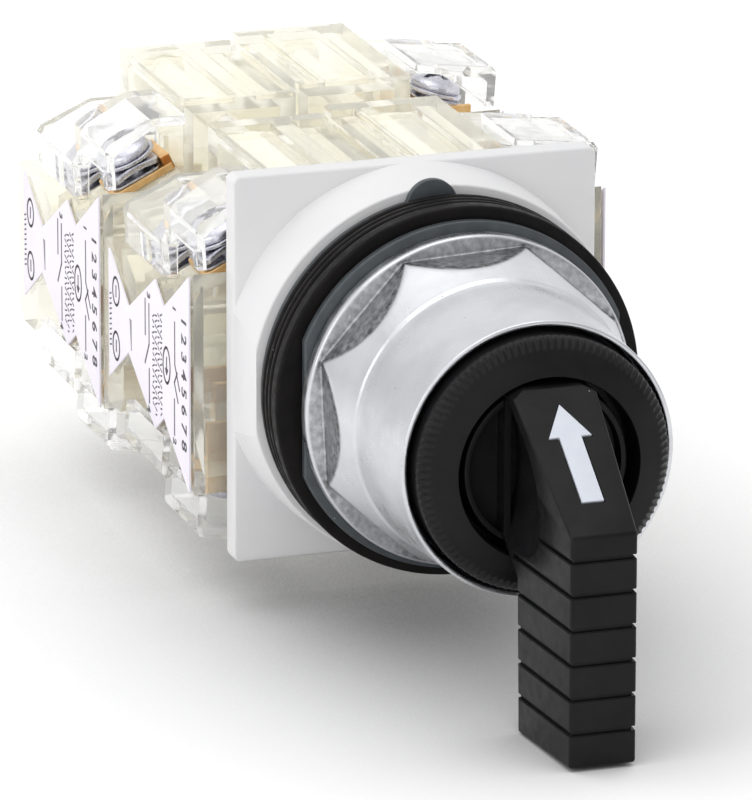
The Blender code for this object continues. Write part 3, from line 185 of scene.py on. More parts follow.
def shade(red, green, blue):
    """A colour as a paint chart gives it, from 0 to 255, turned to linear light."""
    values = []
    for part in (red, green, blue):
        share = part / 255
        values.append(share / 12.92 if share <= 0.04045 else ((share + 0.055) / 1.055) ** 2.4)
    return tuple(values)


def length(name, text, default):
    return FloatProperty(name=name, description=text, default=default, unit="LENGTH", precision=5)


def colour(name, text, red, green, blue):
    return FloatVectorProperty(
        name=name, description=text, default=shade(red, green, blue), subtype="COLOR", min=0, max=1
    )


class SwitchShape(bpy.types.PropertyGroup):
    """Sizes of the fine detail."""

    round_steps: IntProperty(
        name="Round steps", description="Points round each turned piece", default=256, min=32
    )
    moulded_edge: length("Moulded edge", "Rounding on the moulded plastic edges", 0.35 * MM)
    clear_edge: length("Clear edge", "Rounding on the clear housings and hoods", 0.08 * MM)
    metal_edge: length("Metal edge", "Rounding on the small metal pieces", 0.12 * MM)
    nut_edge: length("Nut edge", "Softness of the cast edges of the ring nut", 0.16 * MM)
    knurl_count: IntProperty(
        name="Knurls", description="Ridges round the collar's bevel", default=104, min=12
    )
    knurl_depth: length("Knurl depth", "Height of the collar's ridges", 0.4 * MM)
    print_width: length("Print line", "Width of a printed line on the labels", 0.32 * MM)


class SwitchColours(bpy.types.PropertyGroup):
    """Colours of the finishes."""

    white_plastic: colour("White plastic", "Base flange", 224, 223, 223)
    gasket: colour("Gasket rubber", "Gaskets", 15, 13, 13)
    washer: colour("Washer", "Trim washer and locating washer", 66, 71, 75)
    nut: colour("Nut plating", "Ring nut", 216, 217, 221)
    black_plastic: colour("Black plastic", "Collar and lever", 16, 16, 17)
    arrow: colour("Arrow", "Pointer arrow", 210, 215, 224)
    clear_housing: colour("Clear housing", "Contact block housings", 254, 253, 246)
    clear_hood: colour("Clear hood", "Terminal hoods", 254, 254, 253)
    label: colour("Label", "Side labels", 240, 235, 244)
    print_ink: colour("Print", "Marks on the labels", 38, 36, 44)
    brass: colour("Brass", "Terminal strips and blades", 238, 204, 152)
    plated_steel: colour("Plated steel", "Terminal screws and clamps", 214, 214, 222)
    carrier: colour("Carrier", "Contact carriers", 214, 206, 178)
    nylon: colour("Nylon", "Cam shaft and push rods", 205, 200, 185)


class SwitchStudio(bpy.types.PropertyGroup):
    """Light and floor."""

    floor_colour: colour("Floor", "Floor and backdrop", 255, 255, 255)
    sky_level: FloatProperty(name="Sky level", description="Light from all round", default=0.7, min=0)
    key_power: FloatProperty(
        name="Key light", description="Power of the overhead softbox", default=3.9, unit="POWER"
    )
    fill_power: FloatProperty(
        name="Front fill", description="Power of the soft light in front", default=1.6, unit="POWER"
    )
    side_power: FloatProperty(
        name="Side light", description="Power of the left softbox", default=1.9, unit="POWER"
    )


def put_in_scene(name, data):
    """A new object in the scene, with the given mesh, curve, lamp or camera."""
    obj = bpy.data.objects.new(name, data)
    bpy.context.scene.collection.objects.link(obj)
    return obj


def from_bmesh(name, mesh_data):
    """A new object from a bmesh, with doubled points welded and its faces turned outward."""
    bmesh.ops.remove_doubles(mesh_data, verts=mesh_data.verts, dist=WELD)
    bmesh.ops.recalc_face_normals(mesh_data, faces=mesh_data.faces)
    mesh = bpy.data.meshes.new(name)
    mesh_data.to_mesh(mesh)
    mesh_data.free()
    return put_in_scene(name, mesh)


def bake(obj):
    """Replaces the object by its evaluated mesh in world space."""
    bpy.context.view_layer.update()
    graph = bpy.context.evaluated_depsgraph_get()
    mesh = bpy.data.meshes.new_from_object(obj.evaluated_get(graph))
    mesh.transform(obj.matrix_world)
    name = obj.name
    bpy.data.objects.remove(obj)
    mesh.name = name
    return put_in_scene(name, mesh)


def tidy(obj):
    """Welds doubled points and turns the faces outward."""
    mesh_data = bmesh.new()
    mesh_data.from_mesh(obj.data)
    bmesh.ops.remove_doubles(mesh_data, verts=mesh_data.verts, dist=WELD)
    bmesh.ops.dissolve_degenerate(mesh_data, dist=WELD, edges=mesh_data.edges)
    bmesh.ops.recalc_face_normals(mesh_data, faces=mesh_data.faces)
    mesh_data.to_mesh(obj.data)
    mesh_data.free()
    return obj


def combine(obj, tool, operation):
    """Joins a tool to an object, or cuts it away."""
    modifier = obj.modifiers.new("Combine", "BOOLEAN")
    modifier.operation = operation
    modifier.object = tool
    result = bake(obj)
    bpy.data.objects.remove(tool)
    return result


def add_mesh(obj, other):
    """Adds another object's mesh to an object's own, unjoined."""
    both = bmesh.new()
    both.from_mesh(obj.data)
    both.from_mesh(other.data)
    both.to_mesh(obj.data)
    both.free()
    bpy.data.objects.remove(other)


def stand(obj, y=0.0, z=0.0):
    """Stands a plate drawn in XY upright in XZ, its lower face to +Y, and moves it to y and z."""
    obj.data.transform(Matrix.Rotation(math.pi / 2, 4, "X"))
    obj.data.transform(Matrix.Translation((0, y, z)))


def rounded(profile, steps=4):
    """A closed profile of (radius, y, rounding) with its corners turned to arcs."""
    points = []
    count = len(profile)
    for index, (across, along, rounding) in enumerate(profile):
        here = Vector((across, along))
        if rounding <= 0:
            points.append(here)
            continue
        before = Vector(profile[index - 1][:2]) - here
        after = Vector(profile[(index + 1) % count][:2]) - here
        reach = min(rounding, before.length * 0.49, after.length * 0.49)
        start = here + before.normalized() * reach
        end = here + after.normalized() * reach
        for step in range(steps + 1):
            share = step / steps
            points.append(
                start * (1 - share) ** 2 + here * 2 * share * (1 - share) + end * share**2
            )
    return [(point.x, point.y) for point in points]


def ring_shell(name, rings, steps, closed=True):
    """A shell round the Y axis from rings of (radius, y); a radius may be a function of the angle."""
    mesh_data = bmesh.new()
    loops = []
    for radius, y in rings:
        if not callable(radius) and radius < WELD:
            loops.append([mesh_data.verts.new((0.0, y, 0.0))] * steps)
            continue
        loop = []
        for index in range(steps):
            angle = math.tau * index / steps
            reach = radius(angle) if callable(radius) else radius
            loop.append(mesh_data.verts.new((reach * math.cos(angle), y, reach * math.sin(angle))))
        loops.append(loop)
    pairs = list(zip(loops, loops[1:]))
    if closed:
        pairs.append((loops[-1], loops[0]))
    for one, two in pairs:
        for index in range(steps):
            following = (index + 1) % steps
            corners = [one[index], one[following], two[following], two[index]]
            unique = list(dict.fromkeys(corners))
            if len(unique) > 2:
                mesh_data.faces.new(unique)
    return from_bmesh(name, mesh_data)


def turned(name, profile, steps, corner_steps=4):
    """A solid of revolution about Y from (radius, y, rounding) points."""
    on_axis = profile[0][0] == 0 and profile[-1][0] == 0
    return ring_shell(name, rounded(profile, corner_steps), steps, not on_axis)


def plate(name, outlines, thickness, rounding=0.0, rounding_steps=2):
    """A flat plate in XY from one outline and the holes in it, its lower face at z 0."""
    curve = bpy.data.curves.new(name, "CURVE")
    curve.dimensions = "2D"
    curve.fill_mode = "BOTH"
    curve.extrude = thickness / 2 - rounding
    curve.bevel_depth = rounding
    curve.bevel_resolution = rounding_steps
    curve.offset = -rounding
    for outline in outlines:
        spline = curve.splines.new("POLY")
        spline.points.add(len(outline) - 1)
        for point, (across, up) in zip(spline.points, outline):
            point.co = (across, up, 0.0, 1.0)
        spline.use_cyclic_u = True
    obj = put_in_scene(name, curve)
    obj.location = (0.0, 0.0, thickness / 2)
    return tidy(bake(obj))


def arc(centre, radius, start, end, count):
    """Points on an arc, both ends included."""
    points = []
    for index in range(count + 1):
        angle = start + (end - start) * index / count
        points.append((centre[0] + radius * math.cos(angle), centre[1] + radius * math.sin(angle)))
    return points


def rounded_rectangle(width, height, corner, count=8):
    points = []
    for turn, (side_x, side_y) in enumerate(((1, 1), (-1, 1), (-1, -1), (1, -1))):
        centre = (side_x * (width / 2 - corner), side_y * (height / 2 - corner))
        points.extend(arc(centre, corner, turn * math.pi / 2, (turn + 1) * math.pi / 2, count))
    return points


def smooth(obj, degrees=30.0):
    obj.data.shade_smooth()
    obj.data.set_sharp_from_angle(angle=math.radians(degrees))
    return obj


def round_edges(obj, width, segments, degrees):
    """A Bevel modifier on the edges sharper than an angle."""
    bevel = obj.modifiers.new("Edges", "BEVEL")
    bevel.width = width
    bevel.segments = segments
    bevel.limit_method = "ANGLE"
    bevel.angle_limit = math.radians(degrees)
    return bevel


def ease_edges(obj, width):
    """A small rounding on every sharp edge, with the flat faces kept flat."""
    round_edges(obj, width, 2, 30.0).use_clamp_overlap = False
    obj.data.shade_smooth()
    normals = obj.modifiers.new("Flat faces", "WEIGHTED_NORMAL")
    normals.keep_sharp = True
    normals.weight = 80
    return obj


def node_copy(node, name):
    """A copy of a CAD node's mesh with its flat faces whole."""
    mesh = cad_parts[node].data.copy()
    mesh.name = name
    mesh_data = bmesh.new()
    mesh_data.from_mesh(mesh)
    bmesh.ops.remove_doubles(mesh_data, verts=mesh_data.verts, dist=2 * WELD)
    bmesh.ops.dissolve_limit(
        mesh_data, angle_limit=math.radians(0.6), verts=mesh_data.verts, edges=mesh_data.edges
    )
    mesh_data.to_mesh(mesh)
    mesh_data.free()
    mesh.materials.clear()
    return put_in_scene(name, mesh)


def settle(obj, material, body, slot, *nodes):
    """Gives a piece its material and its body, and hides the CAD nodes it stands for; the slot is not
    used.
    """
    obj.data.materials.clear()
    obj.data.materials.append(material)
    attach(obj, body)
    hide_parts(*nodes)


def block_point(outward, depth, height):
    return Vector((-outward, BLOCK_FRONT_Y + depth, height - BLOCK_DROP))


def facing_front(depth):
    """Stands a plate drawn in XY across the front left block, its lower face at a depth in it."""
    return Matrix(
        ((1, 0, 0, 0), (0, 0, -1, BLOCK_FRONT_Y + depth), (0, 1, 0, -BLOCK_DROP), (0, 0, 0, 1))
    )


def block_places():
    """Each block's name and the move that takes the front left block there."""
    for side, turn in (("left", 0.0), ("right", math.pi)):
        for row, shift in (("front", 0.0), ("rear", BLOCK_PITCH)):
            move = Matrix.Translation((0.0, shift, 0.0)) @ Matrix.Rotation(turn, 4, "Y")
            yield f"{row}_{side}", move


def set_in_blocks(pattern, piece, material, slot, node):
    """Puts a pattern drawn in the front left block into all four, in place of one node in each."""
    pattern.data.materials.append(material)
    for block, move in block_places():
        obj = put_in_scene(f"{block}_{piece}", pattern.data)
        for modifier in pattern.modifiers:
            copy = obj.modifiers.new(modifier.name, modifier.type)
            for setting in modifier.bl_rna.properties:
                if not setting.is_readonly and setting.identifier not in ("name", "type"):
                    setattr(copy, setting.identifier, getattr(modifier, setting.identifier))
        obj.matrix_world = move
        # Clear plastic lets the lamps' light through to the parts inside
        obj.visible_shadow = not slot.startswith("clear")
        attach(obj, "switch")
        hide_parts(f"{block}_{node}")
    bpy.data.objects.remove(pattern)


def principled(name, base, roughness, metallic=0.0):
    """A Principled material with plain values on its own sockets."""
    material = bpy.data.materials.new(f"{name}_finish")
    material.use_nodes = True
    shader = material.node_tree.nodes["Principled BSDF"]
    shader.inputs["Base Color"].default_value = (*base, 1.0)
    shader.inputs["Roughness"].default_value = roughness
    shader.inputs["Metallic"].default_value = metallic
    material.diffuse_color = (*base, 1.0)
    return material


def shader_of(material):
    return material.node_tree.nodes["Principled BSDF"]


def feed(tree, socket, value):
    """Links another node's output to a socket, or gives the socket a plain value."""
    if isinstance(value, bpy.types.NodeSocket):
        tree.links.new(value, socket)
    else:
        socket.default_value = value


def add_node(tree, kind, inputs=None, **settings):
    """A new shader node with its inputs fed and its options set by name."""
    node = tree.nodes.new(f"ShaderNode{kind}")
    for name, value in settings.items():
        setattr(node, name, value)
    for name, value in (inputs or {}).items():
        feed(tree, node.inputs[name], value)
    return node


def calculate(tree, operation, one, two):
    """The result of a Math node on two outputs or numbers."""
    return add_node(tree, "Math", {0: one, 1: two}, operation=operation).outputs["Value"]


def remap(tree, value, source=(0.0, 1.0), target=(0.0, 1.0), interpolation="LINEAR"):
    """A value moved from its source range to a target range."""
    ends = {"From Min": source[0], "From Max": source[1], "To Min": target[0], "To Max": target[1]}
    node = add_node(tree, "MapRange", {**ends, "Value": value}, interpolation_type=interpolation)
    return node.outputs["Result"]


def mottle(material, size, detail=4.0, stretch=(1.0, 1.0, 1.0), contrast=(0.3, 0.7)):
    """Cloudy noise with marks of about the given size, from 0 to 1."""
    tree = material.node_tree
    place = add_node(tree, "TexCoord").outputs["Object"]
    place = add_node(tree, "Mapping", {"Scale": stretch, "Vector": place}).outputs["Vector"]
    cloud = add_node(tree, "TexNoise", {"Scale": 1.0 / size, "Detail": detail, "Vector": place})
    return remap(tree, cloud.outputs["Fac"], contrast)


def specks(material, size, spacing, share=0.3):
    """Small scattered dots, 1 on a dot and 0 elsewhere."""
    tree = material.node_tree
    place = add_node(tree, "TexCoord").outputs["Object"]
    cells = add_node(tree, "TexVoronoi", {"Scale": 1.0 / spacing, "Vector": place})
    edge = size / spacing
    dot = remap(tree, cells.outputs["Distance"], (edge, edge * 0.5))
    split = add_node(tree, "SeparateColor", {"Color": cells.outputs["Color"]})
    chosen = calculate(tree, "LESS_THAN", split.outputs["Red"], share)
    return calculate(tree, "MULTIPLY", dot, chosen)


def tint(material, factor, other, amount=1.0):
    """Mixes another colour into the base colour where the factor is high."""
    tree = material.node_tree
    socket = shader_of(material).inputs["Base Color"]
    before = socket.links[0].from_socket if socket.is_linked else socket.default_value
    mix = add_node(tree, "Mix", data_type="RGBA")
    if amount < 1.0:
        factor = calculate(tree, "MULTIPLY", factor, amount)
    for name, value in (("A", before), ("B", (*other, 1.0)), ("Factor", factor)):
        feed(tree, mix.inputs[name], value)
    tree.links.new(mix.outputs["Result"], socket)


def vary_roughness(material, factor, low, high):
    tree = material.node_tree
    tree.links.new(remap(tree, factor, target=(low, high)), shader_of(material).inputs["Roughness"])


def bump(material, height, distance):
    """Adds relief of about the given height in metres, over any relief already there."""
    tree = material.node_tree
    socket = shader_of(material).inputs["Normal"]
    relief = add_node(tree, "Bump", {"Strength": 1.0, "Distance": distance, "Height": height})
    if socket.is_linked:
        tree.links.new(socket.links[0].from_socket, relief.inputs["Normal"])
    tree.links.new(relief.outputs["Normal"], socket)


def finish(name):
    """The finish of that name, made the first time it is asked for."""
    made = bpy.data.materials.get(f"{name}_finish")
    return made if made else FINISHES[name](bpy.context.scene.switch_colours)


def white_plastic(colours):
    material = principled("white_plastic", colours.white_plastic, 0.42)
    tint(material, mottle(material, 9 * MM, 2.0), shade(217, 218, 221), 0.6)
    vary_roughness(material, mottle(material, 3 * MM), 0.36, 0.5)
    bump(material, mottle(material, 0.35 * MM, 2.0), 0.006 * MM)
    return material


def gasket_rubber(colours):
    material = principled("gasket_rubber", colours.gasket, 0.5)
    shader_of(material).inputs["Specular IOR Level"].default_value = 0.12
    tint(material, mottle(material, 0.5 * MM, 3.0, (0.12, 3.0, 0.12)), shade(30, 27, 26), 0.5)
    tint(material, specks(material, 0.09 * MM, 1.5 * MM, 0.22), shade(170, 166, 160))
    vary_roughness(material, mottle(material, 1.2 * MM), 0.38, 0.62)
    bump(material, mottle(material, 0.3 * MM, 4.0, (0.2, 2.0, 0.2)), 0.03 * MM)
    return material


def washer_steel(colours):
    material = principled("washer_steel", colours.washer, 0.42, 0.35)
    tint(material, mottle(material, 2.2 * MM, 6.0), shade(84, 90, 94), 0.6)
    tint(material, specks(material, 0.1 * MM, 1.7 * MM, 0.25), shade(168, 172, 176))
    vary_roughness(material, mottle(material, 0.8 * MM), 0.34, 0.52)
    bump(material, mottle(material, 0.2 * MM, 5.0), 0.008 * MM)
    return material


def nut_plating(colours):
    material = principled("nut_plating", colours.nut, 0.3, 1.0)
    tint(material, mottle(material, 6 * MM, 3.0, contrast=(0.4, 0.75)), shade(190, 192, 196), 0.6)
    tint(material, specks(material, 0.11 * MM, 1.6 * MM, 0.2), shade(90, 92, 96), 0.8)
    # Painted dark reflection on the octagon's flats, broken by a speckled grain, and a third as much on
    # the flange; the turned cone and barrel are left bright
    tree = material.node_tree
    flats = add_node(tree, "Attribute", attribute_name="painted_reflection_share").outputs["Fac"]
    grain = mottle(material, 0.8 * MM, 8.0, contrast=(0.1, 0.62))
    tint(material, calculate(tree, "MULTIPLY", flats, grain), shade(12, 13, 15), 0.97)
    vary_roughness(material, mottle(material, 2.4 * MM, 5.0), 0.24, 0.42)
    bump(material, mottle(material, 5 * MM, 1.0), 0.03 * MM)
    bump(material, mottle(material, 0.9 * MM, 3.0, (1.0, 0.15, 1.0)), 0.012 * MM)
    bump(material, mottle(material, 0.22 * MM, 4.0), 0.005 * MM)
    return material


def black_plastic(colours):
    material = principled("black_plastic", colours.black_plastic, 0.36)
    shader_of(material).inputs["Specular IOR Level"].default_value = 0.17
    tint(material, mottle(material, 4 * MM, 4.0), shade(25, 25, 27), 0.7)
    tint(material, specks(material, 0.07 * MM, 1.9 * MM, 0.2), shade(200, 202, 208))
    vary_roughness(material, mottle(material, 1.4 * MM, 5.0), 0.3, 0.46)
    bump(material, mottle(material, 0.16 * MM, 3.0), 0.006 * MM)
    return material


def arrow_white(colours):
    material = principled("arrow_white", colours.arrow, 0.42)
    tint(material, mottle(material, 2.5 * MM, 3.0), shade(200, 204, 216), 0.6)
    vary_roughness(material, mottle(material, 0.9 * MM), 0.36, 0.5)
    bump(material, mottle(material, 0.25 * MM), 0.004 * MM)
    return material


def clear_plastic(name, base, warm, roughness, clearness):
    """Clear moulded plastic, a little milky, with a faint flow pattern."""
    material = principled(name, base, roughness)
    shader = shader_of(material)
    shader.inputs["Transmission Weight"].default_value = clearness
    shader.inputs["IOR"].default_value = 1.22
    tint(material, mottle(material, 6 * MM, 3.0), warm, 0.7)
    vary_roughness(material, mottle(material, 3 * MM, 4.0), roughness * 0.6, roughness * 1.6)
    bump(material, mottle(material, 2.8 * MM, 1.0), 0.008 * MM)
    return material


def clear_housing(colours):
    return clear_plastic("clear_housing", colours.clear_housing, shade(252, 249, 236), 0.08, 0.8)


def clear_hood(colours):
    return clear_plastic("clear_hood", colours.clear_hood, shade(254, 254, 253), 0.03, 0.9)


def label_paper(colours):
    material = principled("label_paper", colours.label, 0.5)
    tint(material, mottle(material, 7 * MM, 3.0), shade(232, 226, 240), 0.6)
    vary_roughness(material, mottle(material, 1.5 * MM), 0.42, 0.6)
    bump(material, mottle(material, 0.2 * MM), 0.003 * MM)
    return material


def print_ink(colours):
    material = principled("print_ink", colours.print_ink, 0.5)
    tint(material, mottle(material, 0.6 * MM), shade(70, 68, 78), 0.7)
    return material


def terminal_brass(colours):
    material = principled("terminal_brass", colours.brass, 0.3, 1.0)
    tint(material, mottle(material, 1.6 * MM, 5.0), shade(216, 168, 108), 0.8)
    vary_roughness(material, mottle(material, 0.7 * MM, 4.0), 0.32, 0.5)
    bump(material, mottle(material, 0.5 * MM, 4.0, (1.0, 0.25, 1.0)), 0.02 * MM)
    return material


def plated_steel(colours):
    material = principled("plated_steel", colours.plated_steel, 0.24, 1.0)
    tint(material, mottle(material, 1.8 * MM, 4.0), shade(176, 176, 188), 0.7)
    vary_roughness(material, mottle(material, 0.9 * MM, 4.0), 0.16, 0.36)
    bump(material, mottle(material, 0.8 * MM, 3.0), 0.012 * MM)
    return material


def screw_zinc(colours):
    material = principled("screw_zinc", shade(244, 243, 240), 0.5, 0.2)
    tint(material, mottle(material, 2.2 * MM, 4.0), shade(232, 231, 228), 0.7)
    vary_roughness(material, mottle(material, 0.8 * MM, 4.0), 0.42, 0.6)
    bump(material, mottle(material, 0.3 * MM, 4.0), 0.008 * MM)
    return material


def carrier_plastic(colours):
    material = principled("carrier_plastic", colours.carrier, 0.5)
    tint(material, mottle(material, 3 * MM), shade(196, 186, 150), 0.7)
    bump(material, mottle(material, 0.3 * MM), 0.006 * MM)
    return material


def nylon(colours):
    material = principled("nylon", colours.nylon, 0.45)
    tint(material, mottle(material, 3 * MM), shade(190, 184, 168), 0.7)
    bump(material, mottle(material, 0.3 * MM), 0.006 * MM)
    return material


def bushing_zinc(colours):
    material = principled("bushing_zinc", shade(150, 152, 156), 0.36, 1.0)
    tint(material, mottle(material, 2.5 * MM, 5.0), shade(120, 122, 128), 0.8)
    vary_roughness(material, mottle(material, 1.0 * MM, 4.0), 0.3, 0.5)
    bump(material, mottle(material, 0.25 * MM, 4.0), 0.01 * MM)
    return material


FINISHES = {
    maker.__name__: maker
    for maker in (
        white_plastic,
        gasket_rubber,
        washer_steel,
        nut_plating,
        black_plastic,
        arrow_white,
        clear_housing,
        clear_hood,
        label_paper,
        print_ink,
        terminal_brass,
        plated_steel,
        screw_zinc,
        carrier_plastic,
        nylon,
        bushing_zinc,
    )
}


class SWITCH_OT_base_flange(bpy.types.Operator):
    """Square flange with the round drum, as one white moulding"""

    bl_idname = "switch.base_flange"
    bl_label = "Base flange"

    def execute(self, context):
        shape = context.scene.switch_shape
        width = FLANGE_HIGH.x - FLANGE_LOW.x
        height = FLANGE_HIGH.z - FLANGE_LOW.z
        thick = FLANGE_HIGH.y
        edge = shape.moulded_edge
        outline = rounded_rectangle(width, height, PLATE_CORNER, 10)
        square = plate("base_flange", [outline], thick, edge, 3)
        stand(square, thick)
        drum = turned(
            "drum",
            [
                (0, thick / 2, 0),
                (DRUM_ROOT_RADIUS, thick / 2, 0),
                (DRUM_ROOT_RADIUS, 0, 0),
                (DRUM_FRONT_RADIUS, FLANGE_LOW.y, edge),
                (0, FLANGE_LOW.y, 0),
            ],
            shape.round_steps,
        )
        # The drum is cut flush with the plate's sides
        reach = width
        half = width / 2 - 0.02 * MM
        sides = plate("sides", [rectangle(-half, half, -reach, reach)], reach)
        sides.data.transform(Matrix.Translation((0, 0, -reach / 2)))
        sides.data.transform(Matrix.Rotation(math.pi / 2, 4, "X"))
        drum = combine(drum, tidy(sides), "INTERSECT")
        body = combine(square, drum, "UNION")
        bore = turned(
            "bore",
            [
                (0, thick * 2, 0),
                (SHOULDER_RADIUS, thick * 2, 0),
                (SHOULDER_RADIUS, 0, 0),
                (BORE_RADIUS, 0, 0),
                (BORE_RADIUS, FLANGE_LOW.y * 2, 0),
                (0, FLANGE_LOW.y * 2, 0),
            ],
            shape.round_steps // 2,
        )
        body = tidy(combine(body, bore, "DIFFERENCE"))
        smooth(body, 16.0)
        settle(body, finish("white_plastic"), "switch", "white_plastic", "base_flange")
        return {"FINISHED"}


class SWITCH_OT_gaskets(bpy.types.Operator):
    """Three thin rubber gaskets and a thick one"""

    bl_idname = "switch.gaskets"
    bl_label = "Gaskets"

    def execute(self, context):
        steps = context.scene.switch_shape.round_steps
        for node in ("thin_gasket_1", "thin_gasket_2", "thin_gasket_3", "thick_gasket"):
            low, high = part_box(node)
            outer = (high[0] - low[0]) / 2
            back, front = high[1], low[1]
            edge = min(0.45 * MM, (back - front) * 0.4)
            ring = turned(
                node + "_ring",
                [
                    (outer, back, edge),
                    (outer, front, edge),
                    (BORE_RADIUS, front, edge * 0.5),
                    (BORE_RADIUS, back, edge * 0.5),
                ],
                steps,
                5,
            )
            self.wander(ring, outer, back)
            smooth(ring, 50.0)
            settle(ring, finish("gasket_rubber"), "switch", "gasket_rubber", node)
        return {"FINISHED"}

    def wander(self, ring, outer, back):
        """Cut rubber is never quite round: its edge wanders by a few hundredths of a millimetre."""
        for vertex in ring.data.vertices:
            if vertex.co.x**2 + vertex.co.z**2 > (outer - 1 * MM) ** 2:
                around = math.atan2(vertex.co.z, vertex.co.x)
                sway = math.sin(around * 3 + back * 9000) + math.sin(around * 7 + back * 5000)
                scale = 1.0 - 0.0012 * (1.0 + 0.5 * sway)
                vertex.co.x *= scale
                vertex.co.z *= scale


class SWITCH_OT_washers(bpy.types.Operator):
    """Locating washer with its nib, and the trim washer with two flats"""

    bl_idname = "switch.washers"
    bl_label = "Washers"

    def execute(self, context):
        shape = context.scene.switch_shape
        edge = shape.metal_edge
        count = shape.round_steps
        back, front = WASHER_HIGH.y, WASHER_LOW.y
        start = math.acos(NIB_HALF_WIDTH / LOCATING_RADIUS)
        outline = arc((0, 0), LOCATING_RADIUS, math.pi - start, math.tau + start, count)
        nib_middle = (0, NIB_TOP - NIB_HALF_WIDTH)
        outline += arc(nib_middle, NIB_HALF_WIDTH, math.radians(20), math.radians(160), 20)
        hole = arc((0, 0), BORE_RADIUS, 0, math.tau, count)[:-1]
        washer = plate("locating_washer_ring", [outline, hole], back - front, edge)
        stand(washer, back)
        washer.data.transform(Matrix.Rotation(NIB_TURN, 4, "Y"))
        smooth(washer, 40.0)
        settle(washer, finish("washer_steel"), "switch", "washer_steel", "locating_washer")
        back, front = TRIM_HIGH.y, TRIM_LOW.y
        half = TRIM_HIGH.x
        outer = TRIM_HIGH.z
        turn = math.acos(half / outer)
        outline = arc((0, 0), outer, turn, math.pi - turn, count // 2)
        outline += arc((0, 0), outer, math.pi + turn, math.tau - turn, count // 2)
        trim = plate("trim_washer_ring", [outline, hole], back - front, edge * 2)
        stand(trim, back)
        smooth(trim, 40.0)
        settle(trim, finish("washer_steel"), "switch", "washer_steel", "trim_washer")
        return {"FINISHED"}


def soft_least(one, two, softness):
    """The smaller of two lengths, with a rounded changeover."""
    if softness <= 0:
        return min(one, two)
    share = max(0.0, min(1.0, 0.5 + 0.5 * (two - one) / softness))
    return two * (1 - share) + one * share - softness * share * (1 - share)


def octagon_reach(angle):
    """Distance from the nut's axis to its octagon at an angle."""
    away = (angle - NUT_TURN) % NUT_SECTOR
    if away > NUT_SECTOR / 2:
        away -= NUT_SECTOR
    return NUT_APOTHEM / math.cos(away)


def nut_section(y, softness):
    """Radius round the nut at a place along its cone: the cone or the octagon, whichever is smaller."""
    share = (CONE_BACK_Y - y) / (CONE_BACK_Y - CONE_FRONT_Y)
    reach = CONE_ROOT + (CONE_TOP - CONE_ROOT) * share
    return lambda angle: soft_least(reach, octagon_reach(angle), softness)


def nut_rings(softness):
    """The nut's rings from its back face to its rim, and back through its bore."""
    back, rim = NUT_HIGH.y, NUT_LOW.y
    flange = NUT_HIGH.x
    edge = NUT_FLANGE_EDGE
    rings = [
        (BORE_RADIUS, back),
        (flange - edge, back),
        (flange, back - edge),
        (flange, CONE_BACK_Y + edge),
        (flange - edge * 0.3, CONE_BACK_Y + edge * 0.3),
        (flange - edge, CONE_BACK_Y),
    ]
    # A small fillet where the octagon rises from the flange
    for index in range(4):
        lift = index / 3
        spread = NUT_FILLET * (1 - math.sin(lift * math.pi / 2))
        y = CONE_BACK_Y - NUT_FILLET * (1 - math.cos(lift * math.pi / 2))
        section = nut_section(y, softness)
        rings.append((lambda angle, section=section, spread=spread: section(angle) + spread, y))
    count = 44
    start = 0.3 * MM
    for index in range(1, count):
        y = CONE_BACK_Y - start + (CONE_FRONT_Y - CONE_BACK_Y + start) * index / (count - 1)
        rings.append((nut_section(y, softness), y))
    # The cone ends in a soft step down to the barrel
    for index in range(1, 9):
        share = index / 8
        ease = share * share * (3 - 2 * share)
        rings.append((CONE_TOP + (BARREL_ROOT - CONE_TOP) * ease, CONE_FRONT_Y - NUT_STEP * share))
    count = 12
    start = CONE_FRONT_Y - NUT_STEP
    end = rim + 0.5 * MM
    for index in range(1, count + 1):
        share = index / count
        rings.append((BARREL_ROOT + (BARREL_RIM - BARREL_ROOT) * share, start + (end - start) * share))
    rings += [
        (BARREL_RIM, rim + 0.2 * MM),
        (BARREL_RIM - 0.06 * MM, rim + 0.06 * MM),
        (BARREL_RIM - 0.18 * MM, rim),
        (BORE_RADIUS + 0.1 * MM, rim),
        (BORE_RADIUS, rim + 0.1 * MM),
    ]
    return rings


def paint_flat_reflections(nut):
    """Stores the share of painted dark reflection: 1 on the octagon's flats, fading over their edge to
    the cone, and a third on the flange.
    """
    slope = (CONE_ROOT - CONE_TOP) / (CONE_BACK_Y - CONE_FRONT_Y)
    marks = nut.data.attributes.new("painted_reflection_share", "FLOAT", "POINT")
    for vertex, mark in zip(nut.data.vertices, marks.data):
        place = vertex.co
        flat = octagon_reach(math.atan2(place.z, place.x))
        cone = CONE_ROOT - slope * (CONE_BACK_Y - place.y)
        reach = math.hypot(place.x, place.z)
        depth = (cone - flat) / MM
        on_side = reach > flat - 0.3 * MM and place.y < CONE_BACK_Y + 0.05 * MM
        if reach > CONE_ROOT + 0.5 * MM:
            mark.value = 0.34
        elif on_side:
            mark.value = max(0.0, min(1.0, depth / 0.18)) * (1.0 - 0.5 * min(1.0, depth / 1.3))


def swell_casting(nut):
    """Makes the casting slightly uneven under its plating, apart from its bore and its back face."""
    for vertex in nut.data.vertices:
        place = vertex.co
        reach = math.hypot(place.x, place.z)
        if reach > BORE_RADIUS + 0.4 * MM and place.y < NUT_HIGH.y - 0.6 * MM:
            swell = noise.noise(place / (4.5 * MM)) * 0.035 * MM
            place.x *= 1 + swell / reach
            place.z *= 1 + swell / reach


